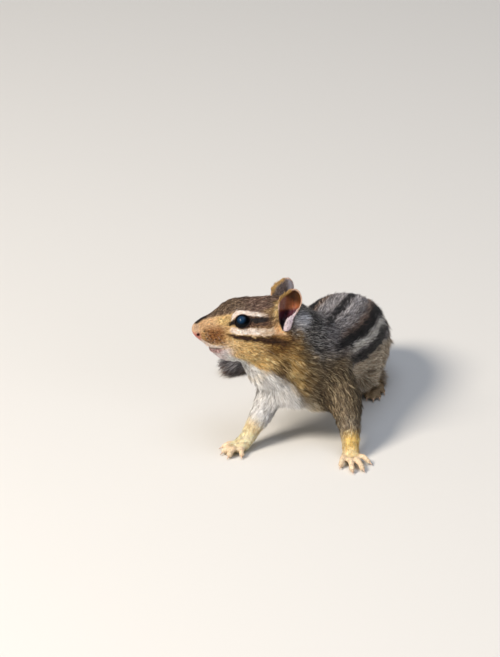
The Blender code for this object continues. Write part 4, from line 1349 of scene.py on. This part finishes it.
def paintEar(place, radius, behind):
    # zones by x, mm rearward, and y, mm up, from the middle of the ear
    x, y = place.T
    tones, paint = painter("earMid", len(place))
    # the top: painted shadow under the rim
    paint("earTopShadow", ramp(y + 0.4 * x, 1.8, 4.4))
    paint("earFront", fall(x, -1.9, -0.6) * ramp(y, -1.4, -0.2) * fall(y, 3.4, 4.8))
    # the lower front and the hole: painted shade deep in the hollow
    paint("earDeepShade", fall(y - 0.25 * x, -1.4, 0.2))
    paint("earHoleShade", fall(y, -5.0, -2.4))
    paint("earLobe", lobeShare(x, y, 0.0, 0.45, 0.6))
    paint("earBack", behind * 1.0)
    paint("earPale", behind * ramp(x, 0.5, 3.0) * ramp(y, 0, 3))
    paint("earRim", ramp(radius, 0.945, 0.975) * ramp(y, -3, 0))
    paint("earGold", ramp(radius, 0.86, 0.95) * fall(x, -0.2, 1.0) * ramp(y, 0.5, 2.5))
    paint("earGold", behind * fall(x - 0.35 * y, -4.4, -3.0) * 0.9)
    return tones


def earCoat(place, radius, behind):
    # what coatShape gives, for the ears: short fuzz, longer on the lobe and the front of the rim
    x, y = place.T
    rim = ramp(radius, 0.93, 0.98)
    fuzz = fall(x, -2.2, -1.2) * ramp(y, -1.0, 0.5) * (1 - behind)
    lobe = lobeShare(x, y, 0.0, 0.5, 0.6)
    gold = rim * fall(x, 0.0, 1.0) * ramp(y, 0.5, 2.5)
    length = mix(mix(0.5, 1.2, behind), 0.45, rim) + 0.5 * lobe + 0.7 * gold + 0.3 * fuzz
    dense = mix(30 * behind, 30.0, rim * ramp(y, -3, -1)) + 34 * lobe + 30 * gold + 9 * fuzz
    return np.stack(np.broadcast_arrays(length, 18 + 4 * rim, -16.0, 0.09, dense), -1)


def makeEars():
    # thin skin over cartilage: soft, faintly waxy, with light passing through near the rim
    material = tonedMaterial("ear_skin_over_cartilage", ((1100.0, 4.0),), (0.3, 0.7, 0.8, 1.15),
                             {"Roughness": 0.55, "Specular IOR Level": 0.28,
                              "Subsurface Weight": 0.15, "Subsurface Scale": 0.0008},
                             relief=(0.0001, 0.4))
    for side, word in sideWords:
        points, faces, uv, place, radius, behind, lie = earShape(side)
        tones, shape = paintEar(place, radius, behind), earCoat(place, radius, behind)
        piece = makePiece("ear_skin_" + word, points, faces, material, "skin")
        setPointColours(piece.data, tones[:, 3:6])
        setUvs(piece.data, uv[faces.ravel()])
        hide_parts("ear_" + word)
        surface = {"faces": faces, "flat": uv[faces],
                   "values": np.column_stack([points, pointNormals(points, faces), lie, shape, tones])}
        face, weights = scatterRoots(points, faces, shape[:, 4] * coatDensity)
        growCoat("ear_" + word, surface, face, weights, "ears")


makeEars()


# eyes and lids

# wet cornea over a near-black iris: mirror-smooth, with a painted blue reflection of the sky in the
# middle
cornea = tonedMaterial("wet_cornea_over_dark_iris", ((1800.0, 2.0),), (0.0, 1.0, 0.6, 1.4),
                       {"Roughness": 0.04, "IOR": 1.33, "Specular IOR Level": 0.2})
# bare, moist, dark edge of the lids
lidSkin = tintedMaterial("bare_lid_skin", ((2500.0, 3.0),), ((0.35, "0c0605"), (0.7, "33201a")),
                         {"Roughness": 0.6, "Specular IOR Level": 0.2}, relief=(0.00005, 0.4))


def loopTube(path, outward, radius, sides=12):
    # a ring of circles square to a closed path
    along = unit(np.roll(path, -1, 0) - np.roll(path, 1, 0))
    across = unit(np.cross(along, outward))
    turn = np.linspace(0, math.tau, sides, endpoint=False)[None, :, None]
    rings = path[:, None] + radius * (np.cos(turn) * across[:, None]
                                      + np.sin(turn) * np.cross(across, along)[:, None])
    faces = ringTriangles(len(path) + 1, sides) % (len(path) * sides)
    return rings.reshape(-1, 3), faces


def makeEyes():
    # a ball with a bell-shaped cornea raised on it, and a round lid along the opening's edge
    for side, word in sideWords:
        centre, axis, along, over = eyeFrame(side)
        lat = np.linspace(0, math.pi, 50)[1:-1, None]
        lon = np.linspace(0, math.tau, 72, endpoint=False)[None]
        girth = eye["radius"] + eye["cornea"] * np.exp(-((lat / 0.75) ** 2))
        rings = centre + girth[..., None] * (
            np.cos(lat)[..., None] * axis + np.sin(lat)[..., None]
            * (np.cos(lon)[..., None] * along + np.sin(lon)[..., None] * np.cross(axis, along)))
        points, faces = closedGrid(rings)
        if np.dot(pointNormals(points, faces)[0], axis) < 0:
            faces = faces[:, ::-1]
        piece = makePiece("eye_" + word + "_ball", points, faces, cornea, "eye")
        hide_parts("eye_" + word)
        # the iris painted blue round a way up and ahead of its axis, as a painted reflection of the sky
        up, ahead, start, end = eye["skyReflection"]
        skyReflection = unit(axis + up * over + ahead * along)
        off = np.degrees(np.arccos(np.clip(unit(points - centre) @ skyReflection, -1, 1)))
        inner, outer = (linear(tone) for tone in eye["tones"])
        setPointColours(piece.data, mix(inner, outer, ramp(off, start, end)[:, None]))
        turn = np.linspace(0, math.tau, 96, endpoint=False)
        u = eye["long"] * np.cos(turn)
        v = eye["high"] * np.sin(turn) * (1 - eye["corner"] * np.cos(turn) ** 2)
        w = np.sqrt(eye["radius"] ** 2 - u**2 - v**2) + eye["lidHeight"]
        path = centre + u[:, None] * along + v[:, None] * over + w[:, None] * axis
        points, faces = loopTube(path, unit(path - centre), eye["lidGirth"])
        if (pointNormals(points, faces)[3] * (points[3] - path[0])).sum() < 0:
            faces = faces[:, ::-1]
        makePiece("lid_" + word, points, faces, lidSkin, "skin")


makeEyes()


# claws: curved horn cones that come down to the floor

claw = {"length": 2.0, "girth": 0.42, "start": -0.7, "height": 1.25, "fall": 0.75, "taper": 0.75}


def clawForm(knuckle, tip):
    # a circle along the finger's line, dropping with the square of its way and narrowing evenly
    ahead = unit(np.array(tip) - np.array(knuckle))
    share = np.linspace(-0.4, 1, 12)[:, None]
    out = np.maximum(share, 0)
    place = np.array(tip) + ahead * (claw["length"] * share + claw["start"])
    girth = claw["girth"] * (1 - claw["taper"] * out)
    return tube(np.hstack([place, claw["height"] - claw["fall"] * out**2, girth * 0.8, girth, girth]),
                steps=1, sides=12)


# thin horn: satin, paler and clearer towards the point
horn = tintedMaterial("claw_horn", ((1500.0, 2.0),), ((0.5, "6a4c38"), (1.1, "d8b496")),
                      {"Roughness": 0.3, "Subsurface Weight": 0.1, "Subsurface Scale": 0.0005},
                      rise=500.0)
for word, fingers in (("forefoot_left", leftFingers), ("forefoot_right", rightFingers),
                      ("hindfoot_left", leftHindToes), ("hindfoot_right", rightHindToes)):
    makePiece("claws_" + word, *gather([clawForm(knuckle, tip) for knuckle, tip, _ in fingers]),
              horn, "claw")
print("ears, eyes and claws")


# whiskers: tapering bristles, thick at the lip

whisker = {
    "girth": 0.028,
    "length": (6.0, 12.0),      # of the foremost and the rearmost
    "gain": 1.6,                # of the tones, against the grain's own mean
    "tones": {"dark": "1e1612", "pale": "e8dccb"},
    # over the eye, on the chin and on the cheek: behind, above, length against the lip's
    "others": (((14.6, 6.4), 0.55), ((15.4, 6.9), 0.5), ((9.5, -9.5), 0.4), ((22.0, -6.0), 0.45)),
}


def bristle(root, direction, bend, length):
    # along a parabola; the radius falls evenly to a fifth
    t = np.linspace(0, 1, 9)[:, None]
    path = root + length * (t * direction + t**2 * bend)
    girth = whisker["girth"] * (1 - 0.8 * t)
    return tube(np.hstack([path, girth, girth, girth]), steps=1, sides=5)


def makeWhiskers():
    # a dark and a pale set; every third one is left out
    b, l, h = headPlace(skinPoints)
    roots = [(root, 1.0) for root in whiskerSpots] + list(whisker["others"])
    forms = {"dark": [], "pale": []}
    for side in (1, -1):
        for number, ((behind, above), size) in enumerate(roots):
            off = np.where((l * side > 1) & (b < 26), (b - behind) ** 2 + (h - above) ** 2, 1e9)
            root = skinPoints[off.argmin()] - 0.1 * skinNormals[off.argmin()]
            rear, up = (behind - 6) / 6, (above + 2.5) / 3
            turn = chance.normal(0, 0.12, 3)
            way = np.array([-0.1 + 0.45 * rear, side * 0.95, -0.35 + 0.35 * up]) + turn
            bend = np.array([0.42, -0.1 * side, -0.25]) + chance.normal(0, 0.06, 3)
            length = mix(*whisker["length"], np.clip((behind - 3.5) / 5, 0, 1)) * size
            length *= chance.uniform(0.75, 1.05)
            if number % 3 != 2:
                forms["dark" if number % 3 == 0 else "pale"].append(
                    bristle(root, unit(way) @ headAxes, bend @ headAxes, length))
    for word, tone in whisker["tones"].items():
        # stiff keratin shafts: smooth, a little uneven in tone
        material, tree, surface = newMaterial("keratin_bristle_" + word, {"Roughness": 0.35})
        place = addNode(tree, "ShaderNodeTexCoord").outputs["Object"]
        shade = addNode(tree, "ShaderNodeVectorMath", {"operation": "SCALE"},
                        {0: tuple(linear(tone) * whisker["gain"]),
                         "Scale": grainOf(tree, place, ((900.0, 2.0),))})
        dress(tree, surface, shade.outputs["Vector"])
        makePiece("whiskers_" + word, *gather(forms[word]), material, "coat")


makeWhiskers()
print("whiskers")


# floor, light and camera

room = {"floor": "d9d6d0", "floorHalf": 4000.0, "sky": "e6e8ea", "skyStrength": 0.22}
# place, width, power, tone, and whether it is mirrored in the eyes
lights = {
    "keyLight": ((-0.8, -0.5, 0.95), 0.5, 21.0, "fff6ea", True),
    "skyLight": ((0.1, -0.2, 1.5), 1.2, 9.0, "dbe8ff", True),
    "fillLight": ((0.9, -0.9, 0.4), 0.8, 3.0, "eef2ff", False),
}
lightsAim = (0, 0, 0.03)
camera = {"turn": 0, "height": 24, "distance": 1.5, "aim": (-17.7, 5.0, 45.7), "lens": 231.8}


def stand(name, data, place, way):
    # a light or a camera at its place, looking the given way
    holder = bpy.data.objects.new(name, data)
    holder.location = place
    holder.rotation_euler = Vector(way).to_track_quat("-Z", "Y").to_euler()
    bpy.context.scene.collection.objects.link(holder)
    return holder


def makeFloor():
    # one large level square, matt, under the feet
    corners = np.array([[-1, -1, 0], [1, -1, 0], [1, 1, 0], [-1, 1, 0]]) * room["floorHalf"]
    floor = makePiece("floor", corners - originShift, np.array([[0, 1, 2, 3]]))
    floor.data.materials.append(newMaterial(
        "matt_painted_board", {"Base Color": (*linear(room["floor"]), 1), "Roughness": 0.9})[0])


def makeLights():
    # round soft lights, and an even pale sky
    for name, (place, size, power, tone, inEyes) in lights.items():
        light = bpy.data.lights.new(name, "AREA")
        light.shape, light.size, light.energy, light.color = "DISK", size, power, linear(tone)
        stand(name, light, place, np.array(lightsAim) - place).visible_glossy = inEyes
    world = bpy.data.worlds.new("softRoom")
    world.use_nodes = True
    sky = world.node_tree.nodes["Background"].inputs
    sky["Color"].default_value, sky["Strength"].default_value = \
        (*linear(room["sky"]), 1), room["skyStrength"]
    bpy.context.scene.world = world
    bpy.context.scene.view_settings.view_transform = "Standard"


def makeCamera():
    # on a sphere round its aim: turn from the front, height over the floor plan
    (front, beside), (level, up) = cosSin(camera["turn"]), cosSin(camera["height"])
    away = np.array([beside * level, -front * level, up])
    data = bpy.data.cameras.new("camera")
    data.lens, data.sensor_width, data.clip_start = camera["lens"], 36, 0.05
    aim = (np.array(camera["aim"]) + originShift) * 0.001
    bpy.context.scene.camera = stand("camera", data, aim + away * camera["distance"], -away)


makeFloor()
makeLights()
makeCamera()
print("stage, light and camera")
